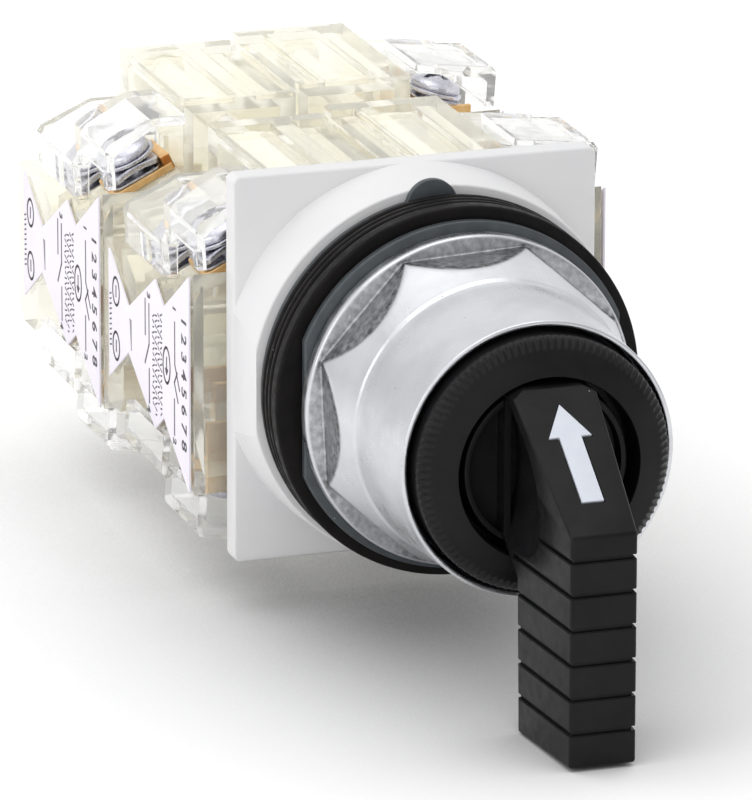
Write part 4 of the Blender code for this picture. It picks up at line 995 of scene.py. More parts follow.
class SWITCH_OT_ring_nut(bpy.types.Operator):
    """Plated ring nut: flange, octagon, chamfer cone and long barrel"""

    bl_idname = "switch.ring_nut"
    bl_label = "Ring nut"

    def execute(self, context):
        shape = context.scene.switch_shape
        nut = ring_shell("ring_nut_body", nut_rings(shape.nut_edge), shape.round_steps * 2)
        # Painted dark reflection on the flats and the flange
        paint_flat_reflections(nut)
        swell_casting(nut)
        smooth(nut, 48.0)
        settle(nut, finish("nut_plating"), "switch", "nut_chrome", "ring_nut")
        return {"FINISHED"}


class SWITCH_OT_collar(bpy.types.Operator):
    """Black collar with a knurled bevel"""

    bl_idname = "switch.collar"
    bl_label = "Knurled collar"

    def execute(self, context):
        shape = context.scene.switch_shape
        count = shape.knurl_count
        depth = shape.knurl_depth
        back, front = COLLAR_HIGH.y, COLLAR_LOW.y
        outer = COLLAR_HIGH.x
        bevel_front = front + CROWN_HEIGHT
        bevel_back = bevel_front + KNURL_LENGTH
        rings = [
            (COLLAR_LIP, back),
            (outer - 0.2 * MM, back),
            (outer, back - 0.2 * MM),
            (outer, bevel_back + 0.5 * MM),
        ]
        # The bevel bulges a little and carries the ridges
        bands = 12
        for index in range(bands + 1):
            share = index / bands
            reach = outer + (CROWN_RADIUS - outer) * share**1.25
            y = bevel_back + (bevel_front - bevel_back) * share**0.8
            fade = math.sin(math.pi * min(1.0, share * 1.02)) ** 0.6

            def ridge(angle, reach=reach, fade=fade):
                wave = math.cos(angle * count)
                tooth = max(-0.6, wave) * 0.5
                return reach + depth * fade * tooth

            rings.append((ridge, y))
        crown_rings = 8
        for index in range(1, crown_rings + 1):
            share = index / crown_rings
            reach = CROWN_RADIUS - 0.12 * MM + (COLLAR_BORE + 0.25 * MM - CROWN_RADIUS) * share
            rings.append((reach, front + CROWN_HEIGHT * (1 - share) ** 1.15))
        rings += [
            (COLLAR_BORE + 0.08 * MM, front + 0.05 * MM),
            (COLLAR_BORE, front + 0.2 * MM),
            (COLLAR_BORE, back - COLLAR_LIP_DEPTH),
            (COLLAR_LIP, back - COLLAR_LIP_DEPTH),
        ]
        collar = ring_shell("knurled_collar_body", rings, count * 8)
        smooth(collar, 50.0)
        settle(collar, finish("black_plastic"), "switch", "black_plastic", "knurled_collar")
        return {"FINISHED"}


def lever_half_width(y):
    share = (y - LEVER_SHOULDER.y) / (BAR_FRONT_Y - LEVER_SHOULDER.y)
    return LEVER_FRONT_HALF_WIDTH + share * (BAR_HALF_WIDTH - LEVER_FRONT_HALF_WIDTH)


def slope_frame():
    """Directions on the sloping face: its start, the way down it, and its outward normal."""
    down = (LEVER_SHOULDER - WEDGE_TOP).normalized()
    return WEDGE_TOP, down, Vector((0.0, down.z, -down.y))


def rectangle(left, right, low, high):
    """The four corners of a rectangle, in turning order."""
    return [(left, low), (right, low), (right, high), (left, high)]


def across_prism(name, outline, low, high):
    """An outline of (y, z) points extruded along X."""
    mesh_data = bmesh.new()
    near = [mesh_data.verts.new((low, y, z)) for y, z in outline]
    far = [mesh_data.verts.new((high, y, z)) for y, z in outline]
    mesh_data.faces.new(near)
    mesh_data.faces.new(list(reversed(far)))
    count = len(outline)
    for index in range(count):
        following = (index + 1) % count
        mesh_data.faces.new((near[index], far[index], far[following], near[following]))
    return from_bmesh(name, mesh_data)


def lever_body(edge):
    """The bar, wedge and lever in one side outline, narrowed toward the front."""
    bar_top = math.sqrt(DISC_RADIUS**2 - BAR_HALF_WIDTH**2)
    above = DISC_RADIUS + 0.2 * MM
    slope = (WEDGE_TOP.y - LEVER_SHOULDER.y) / (WEDGE_TOP.z - LEVER_SHOULDER.z)
    outline = [
        (DISC_FLOOR_Y + 1.0 * MM, above),
        (WEDGE_TOP.y + (above - WEDGE_TOP.z) * slope, above),
        (LEVER_SHOULDER.y, LEVER_SHOULDER.z),
        (LEVER_SHOULDER.y, LEVER_TIP_Z),
        (LEVER_BACK_Y - 0.5 * MM, LEVER_TIP_Z - 0.3 * MM),
        (LEVER_BACK_Y, LEVER_HEEL_Z),
        (BAR_FRONT_Y, -bar_top),
        (DISC_FLOOR_Y + 1.0 * MM, -bar_top),
    ]
    body = across_prism("selector_lever_body", outline, -BAR_HALF_WIDTH, BAR_HALF_WIDTH)
    for vertex in body.data.vertices:
        if vertex.co.y < BAR_FRONT_Y:
            vertex.co.x = math.copysign(lever_half_width(vertex.co.y), vertex.co.x)
    round_edges(body, edge, 4, 25.0)
    body = bake(body)
    reach = DISC_RADIUS - 0.04 * MM
    rim = arc((0.0, 0.0), reach, 0.0, math.pi, 64)
    around = [(2 * DISC_RADIUS, 0.0), (2 * DISC_RADIUS, 2 * DISC_RADIUS),
              (-2 * DISC_RADIUS, 2 * DISC_RADIUS), (-2 * DISC_RADIUS, 0.0)]
    outside = plate("outside", [around + rim[::-1]], 30 * MM)
    stand(outside, DISC_BACK_Y, 0.8 * MM)
    return combine(body, outside, "DIFFERENCE")


def cut_scoops(body):
    """A long hollow in each side of the wedge, with a thin rib left along the bar's edge."""
    start, down, normal = slope_frame()
    for side in (-1, 1):
        mesh_data = bmesh.new()
        bmesh.ops.create_uvsphere(mesh_data, u_segments=96, v_segments=48, radius=1.0)
        bmesh.ops.scale(mesh_data, vec=SCOOP_SIZE, verts=mesh_data.verts)
        lean = math.atan2(-down.z, -down.y)
        bmesh.ops.rotate(mesh_data, matrix=Matrix.Rotation(lean, 3, "X"), verts=mesh_data.verts)
        centre = start + down * (2.8 * MM) - normal * (8.1 * MM)
        centre.x = side * (lever_half_width(centre.y) + 1.5 * MM)
        bmesh.ops.translate(mesh_data, vec=centre, verts=mesh_data.verts)
        scoop = from_bmesh("scoop", mesh_data)
        reach = 25 * MM
        side_view = rectangle(LEVER_SHOULDER.y, BAR_FRONT_Y, -reach, reach)
        front = across_prism("front", side_view, -reach, reach)
        inside = BAR_HALF_WIDTH - SCOOP_RIB
        side_view = rectangle(BAR_FRONT_Y - 1 * MM, BAR_FRONT_Y + SCOOP_PAST_EDGE, -reach, reach)
        behind = across_prism("behind", side_view, -inside, inside)
        room = combine(front, behind, "UNION")
        body = combine(body, combine(scoop, room, "INTERSECT"), "DIFFERENCE")
    return body


def cut_grooves(body):
    """Grip grooves round the lever's front and sides, each with a stepped lip."""
    back = LEVER_BACK_Y + 1.0 * MM
    front = LEVER_SHOULDER.y
    outside = 2.0 * MM
    for index in range(GROOVE_COUNT):
        z = GROOVE_TOP_Z - index * GROOVE_PITCH
        for depth, width in GROOVE_STEPS:
            near = lever_half_width(front) - depth
            far = lever_half_width(back) - depth
            outline = [
                (-far - outside, back),
                (-near - outside, front - outside),
                (near + outside, front - outside),
                (far + outside, back),
                (far, back),
                (near, front + depth),
                (-near, front + depth),
                (-far, back),
            ]
            groove = plate("groove", [outline], width)
            groove.data.transform(Matrix.Translation((0, 0, z - width / 2)))
            body = combine(body, groove, "DIFFERENCE")
    return body


def arrow_outline(margin=0.0):
    """The pointer arrow, drawn from its tip down the slope, grown by a margin."""
    head = 2.45 * MM + margin
    shaft = 1.25 * MM + margin
    tip = 0.8 * MM - margin
    base = 5.3 * MM + margin
    end = 14.3 * MM + margin
    left = [(-head, base), (-shaft, base), (-shaft, end)]
    right = [(-across, down) for across, down in reversed(left)]
    return [(0.0, tip)] + left + right


def on_slope(piece, lift):
    """Lays a flat plate drawn in XY on the sloping face, its lower face at a height over it."""
    start, down, normal = slope_frame()
    place = Matrix.Identity(4)
    for row in range(3):
        place[row][0] = (1.0, 0.0, 0.0)[row]
        place[row][1] = down[row]
        place[row][2] = normal[row]
        place[row][3] = start[row] + normal[row] * lift
    piece.data.transform(place)
    return tidy(piece)


class SWITCH_OT_lever(bpy.types.Operator):
    """Knob disc with its rim, the bar across it, the wedge and the ribbed lever"""

    bl_idname = "switch.lever"
    bl_label = "Selector lever"

    def execute(self, context):
        shape = context.scene.switch_shape
        inner = DISC_RADIUS - 0.7 * MM
        hub = turned(
            "hub",
            [
                (0, HUB_BACK_Y, 0),
                (SKIRT_RADIUS, HUB_BACK_Y, 0),
                (SKIRT_RADIUS, DISC_BACK_Y, 0),
                (DISC_RADIUS, DISC_BACK_Y, 0),
                (DISC_RADIUS, DISC_RIM_Y, 0.18 * MM),
                (inner, DISC_RIM_Y, 0.12 * MM),
                (inner, DISC_FLOOR_Y, 0.15 * MM),
                (0, DISC_FLOOR_Y, 0),
            ],
            160,
        )
        body = cut_grooves(cut_scoops(lever_body(shape.moulded_edge)))
        lever = combine(hub, body, "UNION")
        pocket = plate("pocket", [arrow_outline(ARROW_GAP)], 3 * MM)
        lever = combine(lever, on_slope(pocket, POCKET_FLOOR), "DIFFERENCE")
        half = 3.5 * MM
        side_view = rectangle(HUB_BACK_Y + 1 * MM, HUB_BACK_Y - 5.8 * MM, -half, half)
        socket = across_prism("socket", side_view, -half, half)
        lever = tidy(combine(lever, socket, "DIFFERENCE"))
        lever.name = "selector_lever_body"
        smooth(lever, 28.0)
        settle(lever, finish("black_plastic"), "lever", "black_plastic", "selector_lever")
        arrow = plate("pointer_arrow_inlay", [arrow_outline()], ARROW_THICKNESS, ARROW_EDGE)
        arrow = on_slope(arrow, ARROW_SEAT)
        smooth(arrow, 30.0)
        settle(arrow, finish("arrow_white"), "lever", "arrow_white", "pointer_arrow")
        return {"FINISHED"}


class SWITCH_OT_housings(bpy.types.Operator):
    """Clear housings of the four contact blocks"""

    bl_idname = "switch.housings"
    bl_label = "Housings"

    def execute(self, context):
        housing = node_copy("front_left_housing", "housing_pattern")
        ease_edges(housing, context.scene.switch_shape.clear_edge)
        set_in_blocks(housing, "housing_shell", finish("clear_housing"), "clear_housing", "housing")
        return {"FINISHED"}


class SWITCH_OT_hoods(bpy.types.Operator):
    """Clear hoods over the terminals, above and below"""

    bl_idname = "switch.hoods"
    bl_label = "Terminal hoods"

    def execute(self, context):
        for end in ("top", "bottom"):
            hood = node_copy(f"front_left_{end}_cover", f"{end}_hood_pattern")
            ease_edges(hood, context.scene.switch_shape.clear_edge * 0.6)
            set_in_blocks(hood, f"{end}_hood", finish("clear_hood"), "clear_cover", f"{end}_cover")
        return {"FINISHED"}


def label_strip(points, width, x):
    """A flat printed line through (depth, height) points, in millimetres."""
    mesh_data = bmesh.new()
    thick = 0.02 * MM
    for start, end in zip(points, points[1:]):
        one = Vector((start[0], start[1])) * MM
        two = Vector((end[0], end[1])) * MM
        along = (two - one).normalized() * width * 0.4
        side = Vector((-along.y, along.x)).normalized() * width / 2
        corners = (one - along - side, two + along - side, two + along + side, one - along + side)
        rows = []
        for depth in (x, x - thick):
            row = []
            for corner in corners:
                place = block_point(0, corner.x, corner.y)
                row.append(mesh_data.verts.new((depth, place.y, place.z)))
            rows.append(row)
        near, far = rows
        mesh_data.faces.new(near)
        mesh_data.faces.new(far[::-1])
        for index in range(4):
            following = (index + 1) % 4
            mesh_data.faces.new((near[index], near[following], far[following], far[index]))
    return mesh_data


class SWITCH_OT_labels(bpy.types.Operator):
    """Saw-toothed labels with plain contact marks and terminal numbers"""

    bl_idname = "switch.labels"
    bl_label = "Labels"

    def execute(self, context):
        shape = context.scene.switch_shape
        upper = [(depth, height) for depth, height in LABEL_OUTLINE]
        lower = [(depth, -height) for depth, height in reversed(upper)]
        outline = [(depth * MM, height * MM) for depth, height in upper + lower]
        label = plate("label_pattern", [outline], 0.25 * MM, 0.03 * MM, 1)
        outer = BLOCK_WIDTH + GAP + 0.25 * MM
        label.data.transform(
            Matrix(((0, 0, 1, -outer), (1, 0, 0, BLOCK_FRONT_Y), (0, 1, 0, -BLOCK_DROP), (0, 0, 0, 1)))
        )
        smooth(tidy(label), 40.0)
        set_in_blocks(label, "label_sheet", finish("label_paper"), "label_paper", "label")
        marks = print_marks(shape.print_width, -outer)
        set_in_blocks(marks, "label_print", finish("print_ink"), "label_paper", "label")
        return {"FINISHED"}


def print_marks(width, x):
    """Two contact symbols, rows of fine strokes, ringed bars at the tail, and plain numbers."""
    bold = [
        [(5.4, 6.0), (5.4, 1.0), (3.6, -1.6)],
        [(4.5, 0.2), (5.6, -1.2), (4.2, -3.2)],
        [(5.6, -3.2), (5.6, -7.4)],
        [(15.4, 5.4), (15.4, 0.6), (17.0, -2.0)],
        [(15.4, -2.4), (15.4, -6.4)],
        [(16.9, 5.6), (16.9, 1.4)],
        [(8.6, 0.9), (8.6, -1.0)],
        [(8.2, -0.5), (8.6, -1.0), (9.0, -0.5)],
    ]
    rings = [(8.6, 0.0, 1.35, 2.1), (28.5, 3.3, 1.3, 1.65), (28.5, -3.3, 1.3, 1.65)]
    bold.append([(28.5, 3.9), (28.5, 2.7)])
    bold.append([(28.5, -2.7), (28.5, -3.9)])
    fine = []
    for column, depth in enumerate((10.7, 11.7, 12.7, 13.7)):
        for index in range(19 - 2 * (column % 2)):
            height = 5.4 - column * 0.3 - index * 0.66
            reach = (0.33, 0.24, 0.36, 0.28, 0.2)[(index * 3 + column) % 5]
            slant = (0.16, -0.12, 0.05)[(index + column) % 3]
            fine.append([(depth - reach, height + slant), (depth + reach, height - slant)])
    for index in range(11):
        height = 2.6 - index * 0.62
        fine.append([(30.4, height), (31.0, height - 0.2)])
        fine.append([(23.0 - 0.05 * index, height * 0.55), (22.4, height * 0.55 - 0.1)])
    for middle_depth, middle_height, across, up in rings:
        ring = []
        for index in range(41):
            angle = math.tau * index / 40
            ring.append((middle_depth + across * math.cos(angle), middle_height + up * math.sin(angle)))
        bold.append(ring)
    mesh_data = bmesh.new()
    joined = bpy.data.meshes.new("marks")
    for runs, weight in ((bold, width), (fine, width * 0.62)):
        for run in runs:
            part = label_strip(run, weight, x)
            part.to_mesh(joined)
            part.free()
            mesh_data.from_mesh(joined)
    # Each number with its depth, height and size
    numbers = [
        ("1", 5.6, 7.6, 1.6),
        ("2", 5.6, -8.2, 1.6),
        ("3", 15.6, 6.4, 1.6),
        ("4", 15.6, -7.2, 1.6),
    ]
    numbers += [(text, 2.0, 7.0 - 2.1 * index, 2.6) for index, text in enumerate("12345678")]
    for text, depth, height, size in numbers:
        curve = bpy.data.curves.new("number", "FONT")
        curve.body = text
        curve.size = size * MM
        curve.extrude = 0.01 * MM
        curve.offset = 0.05 * MM
        curve.align_x = "CENTER"
        curve.align_y = "CENTER"
        letter = put_in_scene("number", curve)
        spot = block_point(0, depth * MM, height * MM)
        letter.matrix_world = Matrix(
            ((0, 0, -1, x - 0.01 * MM), (0, -1, 0, spot.y), (-1, 0, 0, spot.z), (0, 0, 0, 1))
        )
        baked = bake(letter)
        mesh_data.from_mesh(baked.data)
        bpy.data.objects.remove(baked)
    return from_bmesh("print_pattern", mesh_data)


def seat_place(end, tier):
    """Where a terminal drawn flat goes in the front left block: X outward and Z up from its seat."""
    sign, tilt, heights = ENDS[end]
    place = block_point(SEAT_MIDDLE, SEAT_DEPTHS[tier], sign * heights[tier])
    over = Matrix.Diagonal((1.0, 1.0, float(sign), 1.0))
    flip = Matrix.Diagonal((-1.0, 1.0, 1.0, 1.0))
    return Matrix.Translation(place) @ over @ flip @ Matrix.Rotation(tilt, 4, "Y")


def terminal_screw(edge):
    """Domed screw with a captive washer, a shallow slot and a cross recess."""
    base = 2.75 * MM
    top = 5.0 * MM
    head = 3.15 * MM
    screw = turned(
        "terminal_screw_pattern",
        [
            (0, -top, 0),
            (head * 0.45, -top + 0.1 * MM, 0.8 * MM),
            (head * 0.9, -top + 0.8 * MM, 0.9 * MM),
            (head * 0.97, -base - 0.75 * MM, 0.2 * MM),
            (head * 0.86, -base - 0.66 * MM, 0.05 * MM),
            (head * 0.86, -base - 0.56 * MM, 0.05 * MM),
            (head * 1.05, -base - 0.5 * MM, 0.12 * MM),
            (head * 1.05, -base - 0.05 * MM, edge),
            (1.6 * MM, -base, 0),
            (1.6 * MM, -0.4 * MM, 0),
            (0, -0.4 * MM, 0),
        ],
        64,
    )
    screw.data.transform(Matrix.Rotation(-math.pi / 2, 4, "X"))
    above = top + head * 2
    # Half width, half length, depth and turn of the slot and of the two arms of the cross
    for half_width, half_length, depth, turn in (
        (0.34, 4.0, 0.55, 0.0),
        (0.45, 1.45, 1.15, 0.0),
        (0.45, 1.45, 1.15, 90.0),
    ):
        across, floor = half_width * MM, top - depth * MM
        flare = across * 1.25
        outline = [(-across, floor), (across, floor), (flare, above), (-flare, above)]
        slot = across_prism("slot", outline, -half_length * MM, half_length * MM)
        slot.data.transform(Matrix.Rotation(math.radians(turn), 4, "Z"))
        screw = combine(screw, slot, "DIFFERENCE")
    screw = tidy(screw)
    smooth(screw, 35.0)
    return screw


def bent_sheet(name, low, high, half_width, thick, height, edge):
    """A sheet whose height varies outward, from height(x), with rounded corners."""
    across, along = 32, 16
    mesh_data = bmesh.new()
    sheets = []
    for level in (0.0, thick):
        rows = []
        for i in range(across + 1):
            row = []
            x = low + (high - low) * i / across
            from_end = min(x - low, high - x)
            trim = 0.7 * MM * (1 - min(1.0, from_end / (0.9 * MM))) ** 2
            for j in range(along + 1):
                y = (half_width - trim) * (2 * j / along - 1)
                row.append(mesh_data.verts.new((x, y, height(x) + level)))
            rows.append(row)
        sheets.append(rows)
    for number, rows in enumerate(sheets):
        for i in range(across):
            for j in range(along):
                face = (rows[i][j], rows[i + 1][j], rows[i + 1][j + 1], rows[i][j + 1])
                mesh_data.faces.new(face if number else face[::-1])
    rim = [(i, 0) for i in range(across)] + [(across, j) for j in range(along)]
    rim += [(i, along) for i in range(across, 0, -1)] + [(0, j) for j in range(along, 0, -1)]
    for (i, j), (k, m) in zip(rim, rim[1:] + rim[:1]):
        low_sheet, high_sheet = sheets
        mesh_data.faces.new((low_sheet[i][j], low_sheet[k][m], high_sheet[k][m], high_sheet[i][j]))
    sheet = from_bmesh(name, mesh_data)
    round_edges(sheet, edge, 2, 50.0)
    return bake(sheet)


def clamp_plate(edge):
    """Saddle clamp arched over a thin flat plate."""

    def saddle(x):
        return (1.5 + 0.52 * math.cos(math.pi * (x / MM - 0.4) / 6.6)) * MM

    def flat(x):
        return 1.0 * MM

    clamp = bent_sheet("clamp_pattern", -2.7 * MM, 3.5 * MM, 3.5 * MM, 0.7 * MM, saddle, edge)
    under = bent_sheet("clamp_under", -2.6 * MM, 3.7 * MM, 3.4 * MM, 0.3 * MM, flat, 0.06 * MM)
    add_mesh(clamp, under)
    smooth(clamp, 60.0)
    return clamp


def brass_strip(edge):
    """The brass strip under a clamp, its inner end thickened to a ribbed block."""
    sheet = rounded_rectangle(8.0 * MM, 7.0 * MM, 0.6 * MM, 4)
    strip = plate("strip_pattern", [sheet], 0.9 * MM, edge)
    outline = []
    ribs = 7
    for side in (-1, 1):
        for index in range(ribs * 2 + 1):
            share = index / (ribs * 2)
            x = -3.95 + 1.15 * (share if side < 0 else 1 - share)
            outline.append((x * MM, side * (3.4 - (0.14 if index % 2 else 0.0)) * MM))
    block = plate("end_block", [outline], 2.0 * MM, 0.05 * MM, 1)
    strip = tidy(combine(strip, block, "UNION"))
    smooth(strip, 40.0)
    return strip


class SWITCH_OT_terminals(bpy.types.Operator):
    """Sixteen terminals: brass strip and blade, clamp plate and screw"""

    bl_idname = "switch.terminals"
    bl_label = "Terminals"

    def execute(self, context):
        edge = context.scene.switch_shape.metal_edge
        screw, clamp, strip = terminal_screw(edge), clamp_plate(edge), brass_strip(edge)
        brass, steel = finish("terminal_brass"), finish("plated_steel")
        number = 0
        for end in ENDS:
            for tier in range(2):
                number += 1
                node = f"terminal_{number}"
                for pattern, piece, material in (
                    (strip, "strip", brass),
                    (clamp, "clamp", steel),
                    (screw, "screw", steel),
                ):
                    copy = put_in_scene(f"{piece}_{number}_pattern", pattern.data.copy())
                    turn = Matrix.Rotation(SCREW_TURN if piece == "screw" else 0.0, 4, "Z")
                    copy.data.transform(seat_place(end, tier) @ turn)
                    tidy(copy)
                    smooth(copy, 40.0)
                    set_in_blocks(copy, f"{node}_{piece}", material, "terminal_brass", node)
                blade = terminal_blade(end, tier, edge)
                set_in_blocks(blade, f"{node}_blade", brass, "terminal_brass", node)
                if end == "bottom":
                    lip = front_lip(tier, edge)
                    set_in_blocks(lip, f"{node}_lip", brass, "terminal_brass", node)
        for pattern in (screw, clamp, strip):
            bpy.data.objects.remove(pattern)
        return {"FINISHED"}


def front_lip(tier, edge):
    """The lip folded up at the front of a lower terminal's strip, with a pressed frame."""
    top = LIP_TOPS[tier]
    low = top - LIP_HEIGHT
    frame_lines = [
        rectangle(-22.0 * MM, -18.6 * MM, low * MM, top * MM),
        rectangle(-21.5 * MM, -19.1 * MM, (low + 3.9) * MM, (top - 0.5) * MM),
    ]
    lip = plate(f"lip_{tier}", frame_lines, 0.5 * MM, edge * 0.5)
    back = plate(f"lip_back_{tier}", frame_lines[:1], 0.2 * MM, edge * 0.2)
    back.data.transform(Matrix.Translation((0, 0, -0.22 * MM)))
    add_mesh(lip, back)
    lip.data.transform(facing_front(SEAT_DEPTHS[tier] - 3.6 * MM))
    smooth(tidy(lip), 40.0)
    return lip


def terminal_blade(end, tier, edge):
    """The L-shaped blade that drops to the fixed contact."""
    sign, tilt, heights = ENDS[end]
    arm = BLADE_ARMS[end][tier]
    inner, outer = SEAT_MIDDLE - 1.0 * MM, SEAT_MIDDLE + 1.0 * MM

    def seat(outward):
        return sign * (heights[tier] + math.tan(tilt) * (SEAT_MIDDLE - outward))

    reach = 6.6 * MM
    outline = [
        (-reach, sign * arm),
        (-reach, sign * (arm + 2.0 * MM)),
        (-inner, sign * (arm + 2.0 * MM)),
        (-inner, seat(inner) + sign * 0.4 * MM),
        (-outer, seat(outer) + sign * 0.4 * MM),
        (-outer, sign * arm),
    ]
    blade = plate(f"blade_{end}_{tier}", [outline], 0.9 * MM, edge * 0.8)
    blade.data.transform(facing_front(BLADE_DEPTHS[tier]))
    smooth(tidy(blade), 40.0)
    return blade


def return_spring(name, low, high):
    """A compression spring with closed ends along Y, in the room between two corners."""
    wire = SPRING_WIRE
    steps = SPRING_TURNS * 28
    sides = 10
    reach = (high.x - low.x) / 2 - wire
    middle = (low + high) / 2
    start, end = low.y + wire, high.y - wire
    mesh_data = bmesh.new()
    rings = []
    for index in range(steps + 1):
        share = index / steps
        angle = math.tau * SPRING_TURNS * share
        # The coils close up toward both ends
        ease = share * share * (3 - 2 * share)
        along = start + (end - start) * (0.4 * share + 0.6 * ease)
        out = Vector((math.cos(angle), 0.0, math.sin(angle)))
        centre = Vector((middle.x, along, middle.z)) + out * reach
        ring = []
        for side in range(sides):
            turn = math.tau * side / sides
            rise = Vector((0, wire * math.sin(turn), 0))
            ring.append(mesh_data.verts.new(centre + out * wire * math.cos(turn) + rise))
        rings.append(ring)
    for one, two in zip(rings, rings[1:]):
        for side in range(sides):
            following = (side + 1) % sides
            mesh_data.faces.new((one[side], one[following], two[following], two[side]))
    mesh_data.faces.new(rings[0])
    mesh_data.faces.new(rings[-1][::-1])
    return smooth(from_bmesh(name, mesh_data), 60.0)


class SWITCH_OT_return_springs(bpy.types.Operator):
    """Return springs between the carriers and the housings, each in the room of its CAD spring"""

    bl_idname = "switch.return_springs"
    bl_label = "Return springs"

    def execute(self, context):
        for block, _ in block_places():
            node = f"{block}_spring"
            low, high = (Vector(corner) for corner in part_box(node))
            spring = return_spring(f"{block}_return_spring", low, high)
            spring.data.materials.append(finish("plated_steel"))
            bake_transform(spring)
            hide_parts(node)
        return {"FINISHED"}


class SWITCH_OT_inner_parts(bpy.types.Operator):
    """Finishes for the bushing, shaft, rods, guide plate, carriers and long screws"""

    bl_idname = "switch.inner_parts"
    bl_label = "Inner parts"

    def execute(self, context):
        wanted = {
            "threaded_bushing": "bushing_zinc",
            "cam_shaft": "nylon",
            "left_push_rod": "nylon",
            "right_push_rod": "nylon",
            "guide_plate": "black_plastic",
        }
        for number in range(1, 5):
            wanted[f"mounting_screw_{number}"] = "screw_zinc"
        for block, _ in block_places():
            wanted[f"{block}_carrier"] = "carrier_plastic"
        for node, name in wanted.items():
            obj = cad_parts[node]
            for slot in obj.material_slots:
                slot.material = finish(name)
        return {"FINISHED"}


def highest(tree, *outputs):
    """The highest of several outputs."""
    result = outputs[0]
    for output in outputs[1:]:
        result = calculate(tree, "MAXIMUM", result, output)
    return result


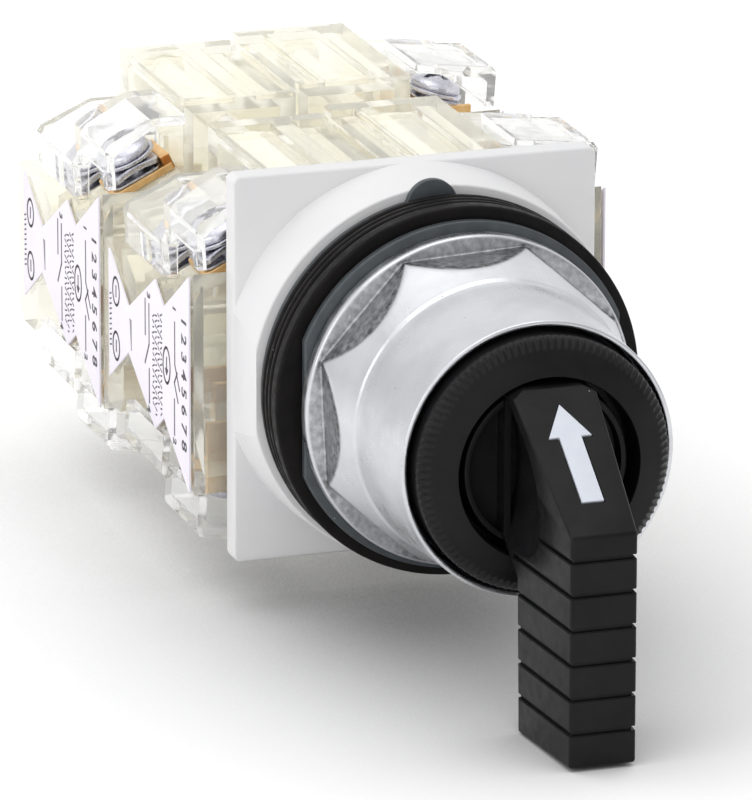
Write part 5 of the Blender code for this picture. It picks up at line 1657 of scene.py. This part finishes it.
class SWITCH_OT_studio(bpy.types.Operator):
    """Pale floor, soft lights and the camera at the photograph's angle"""

    bl_idname = "switch.studio"
    bl_label = "Studio"

    def execute(self, context):
        studio = context.scene.switch_studio
        self.make_floor(studio)
        self.make_world(context, studio)
        self.make_lights(studio)
        self.make_camera(context)
        context.scene.view_settings.view_transform = "Standard"
        return {"FINISHED"}

    def make_floor(self, studio):
        """Floor with a painted shadow near the switch, that shows a lighter tone in metal and clear
        plastic.
        """
        mesh_data = bmesh.new()
        bmesh.ops.create_grid(mesh_data, x_segments=8, y_segments=8, size=FLOOR_REACH)
        floor = from_bmesh("floor", mesh_data)
        floor.location = (0.0, 0.0, FLOOR_Z)
        material = principled("floor_paint", studio.floor_colour, 0.9)
        tree = material.node_tree
        shader = shader_of(material)
        shader.inputs["Specular IOR Level"].default_value = 0.0
        # Painted shadow: ambient occlusion darkens the floor's colour near the switch, softened by
        # mixing the plain colour back in
        near = add_node(tree, "AmbientOcclusion", {"Distance": FLOOR_SHADE_REACH}, samples=8)
        tree.links.new(near.outputs["AO"], shader.inputs["Base Color"])
        tint(material, near.outputs["AO"], studio.floor_colour, 0.45)
        colour_seen = shader.inputs["Base Color"].links[0].from_socket
        # The glow carries the painted shadow too
        glow = add_node(tree, "Emission", {"Color": colour_seen})
        path = add_node(tree, "LightPath").outputs
        seen = highest(tree, path["Is Camera Ray"], path["Is Transmission Ray"], path["Is Glossy Ray"])
        mix = add_node(tree, "MixShader", {1: shader.outputs["BSDF"], 2: glow.outputs["Emission"]})
        tree.links.new(calculate(tree, "MULTIPLY", seen, 0.3), mix.inputs["Fac"])
        tree.links.new(mix.outputs["Shader"], tree.nodes["Material Output"].inputs["Surface"])
        floor.data.materials.append(material)

    def make_world(self, context, studio):
        """Sky brightest overhead and dimmer in front, seen as plain white."""
        world = bpy.data.worlds.new("studio")
        context.scene.world = world
        world.use_nodes = True
        tree = world.node_tree
        white = (1.0, 1.0, 1.0, 1.0)
        sky = tree.nodes["Background"]
        sky.inputs["Color"].default_value = white
        place = add_node(tree, "TexCoord").outputs["Generated"]
        split = add_node(tree, "SeparateXYZ", {"Vector": place})
        level = studio.sky_level
        for axis, source, target in (("Z", (-0.1, 0.7), (0.95, 1.2)), ("Y", (-0.8, 0.8), (0.7, 1.25))):
            share = remap(tree, split.outputs[axis], source, target, "SMOOTHSTEP")
            level = calculate(tree, "MULTIPLY", share, level)
        tree.links.new(level, sky.inputs["Strength"])
        plain = add_node(tree, "Background", {"Color": white, "Strength": 1.0})
        path = add_node(tree, "LightPath").outputs
        mix = add_node(tree, "MixShader", {1: sky.outputs["Background"], 2: plain.outputs["Background"]})
        seen = highest(tree, path["Is Camera Ray"], path["Is Transmission Ray"])
        tree.links.new(seen, mix.inputs["Fac"])
        tree.links.new(mix.outputs["Shader"], tree.nodes["World Output"].inputs["Surface"])

    def make_lights(self, studio):
        spots = (
            ("overhead", studio.key_power, (-0.15, 0.0, 0.95), 1.1),
            ("left_side", studio.side_power, (-0.9, -0.35, 0.35), 0.6),
            ("front_fill", studio.fill_power, (-0.35, -0.95, 0.2), 0.9),
        )
        for name, power, place, size in spots:
            lamp = bpy.data.lights.new(name, "AREA")
            lamp.shape = "SQUARE"
            lamp.size = size
            lamp.energy = power
            obj = put_in_scene(name, lamp)
            obj.location = place
            obj.rotation_euler = (-Vector(place)).to_track_quat("-Z", "Y").to_euler()

    def make_camera(self, context):
        lens = bpy.data.cameras.new("camera")
        camera = put_in_scene("camera", lens)
        context.scene.camera = camera
        back = Vector(
            (
                math.sin(VIEW_AZIMUTH) * math.cos(VIEW_ELEVATION),
                -math.cos(VIEW_AZIMUTH) * math.cos(VIEW_ELEVATION),
                math.sin(VIEW_ELEVATION),
            )
        )
        side = Vector((0, 0, 1)).cross(back).normalized()
        up = back.cross(side)
        place = Matrix((side, up, back)).transposed().to_4x4() @ Matrix.Rotation(VIEW_ROLL, 4, "Z")
        place.translation = VIEW_TARGET + back * VIEW_DISTANCE
        camera.matrix_world = place
        lens.sensor_fit = "HORIZONTAL"
        lens.sensor_width = SENSOR_WIDTH
        lens.lens = VIEW_LENS
        lens.clip_start = 0.01
        lens.clip_end = 20


PIECES = (
    SWITCH_OT_base_flange,
    SWITCH_OT_gaskets,
    SWITCH_OT_washers,
    SWITCH_OT_ring_nut,
    SWITCH_OT_collar,
    SWITCH_OT_lever,
    SWITCH_OT_housings,
    SWITCH_OT_hoods,
    SWITCH_OT_labels,
    SWITCH_OT_terminals,
    SWITCH_OT_return_springs,
    SWITCH_OT_inner_parts,
    SWITCH_OT_studio,
)


class SWITCH_PT_pieces(bpy.types.Panel):
    """Lists the pieces of the switch and their settings"""

    bl_label = "Selector switch"
    bl_idname = "SWITCH_PT_pieces"
    bl_space_type = "VIEW_3D"
    bl_region_type = "UI"
    bl_category = "Switch"

    def draw(self, context):
        layout = self.layout
        for piece in PIECES:
            layout.operator(piece.bl_idname)
        scene = context.scene
        for group in (scene.switch_shape, scene.switch_colours, scene.switch_studio):
            column = layout.column()
            for setting in group.__annotations__:
                column.prop(group, setting)


CLASSES = (SwitchShape, SwitchColours, SwitchStudio, *PIECES, SWITCH_PT_pieces)


def register():
    for item in CLASSES:
        bpy.utils.register_class(item)
    bpy.types.Scene.switch_shape = PointerProperty(type=SwitchShape)
    bpy.types.Scene.switch_colours = PointerProperty(type=SwitchColours)
    bpy.types.Scene.switch_studio = PointerProperty(type=SwitchStudio)


def unregister():
    del bpy.types.Scene.switch_studio
    del bpy.types.Scene.switch_colours
    del bpy.types.Scene.switch_shape
    for item in reversed(CLASSES):
        bpy.utils.unregister_class(item)


def main():
    register()
    bpy.ops.switch.base_flange()
    bpy.ops.switch.gaskets()
    bpy.ops.switch.washers()
    bpy.ops.switch.ring_nut()
    bpy.ops.switch.collar()
    bpy.ops.switch.lever()
    bpy.ops.switch.housings()
    bpy.ops.switch.hoods()
    bpy.ops.switch.labels()
    bpy.ops.switch.terminals()
    bpy.ops.switch.return_springs()
    bpy.ops.switch.inner_parts()
    bpy.ops.switch.studio()


if __name__ == "__main__":
    main()
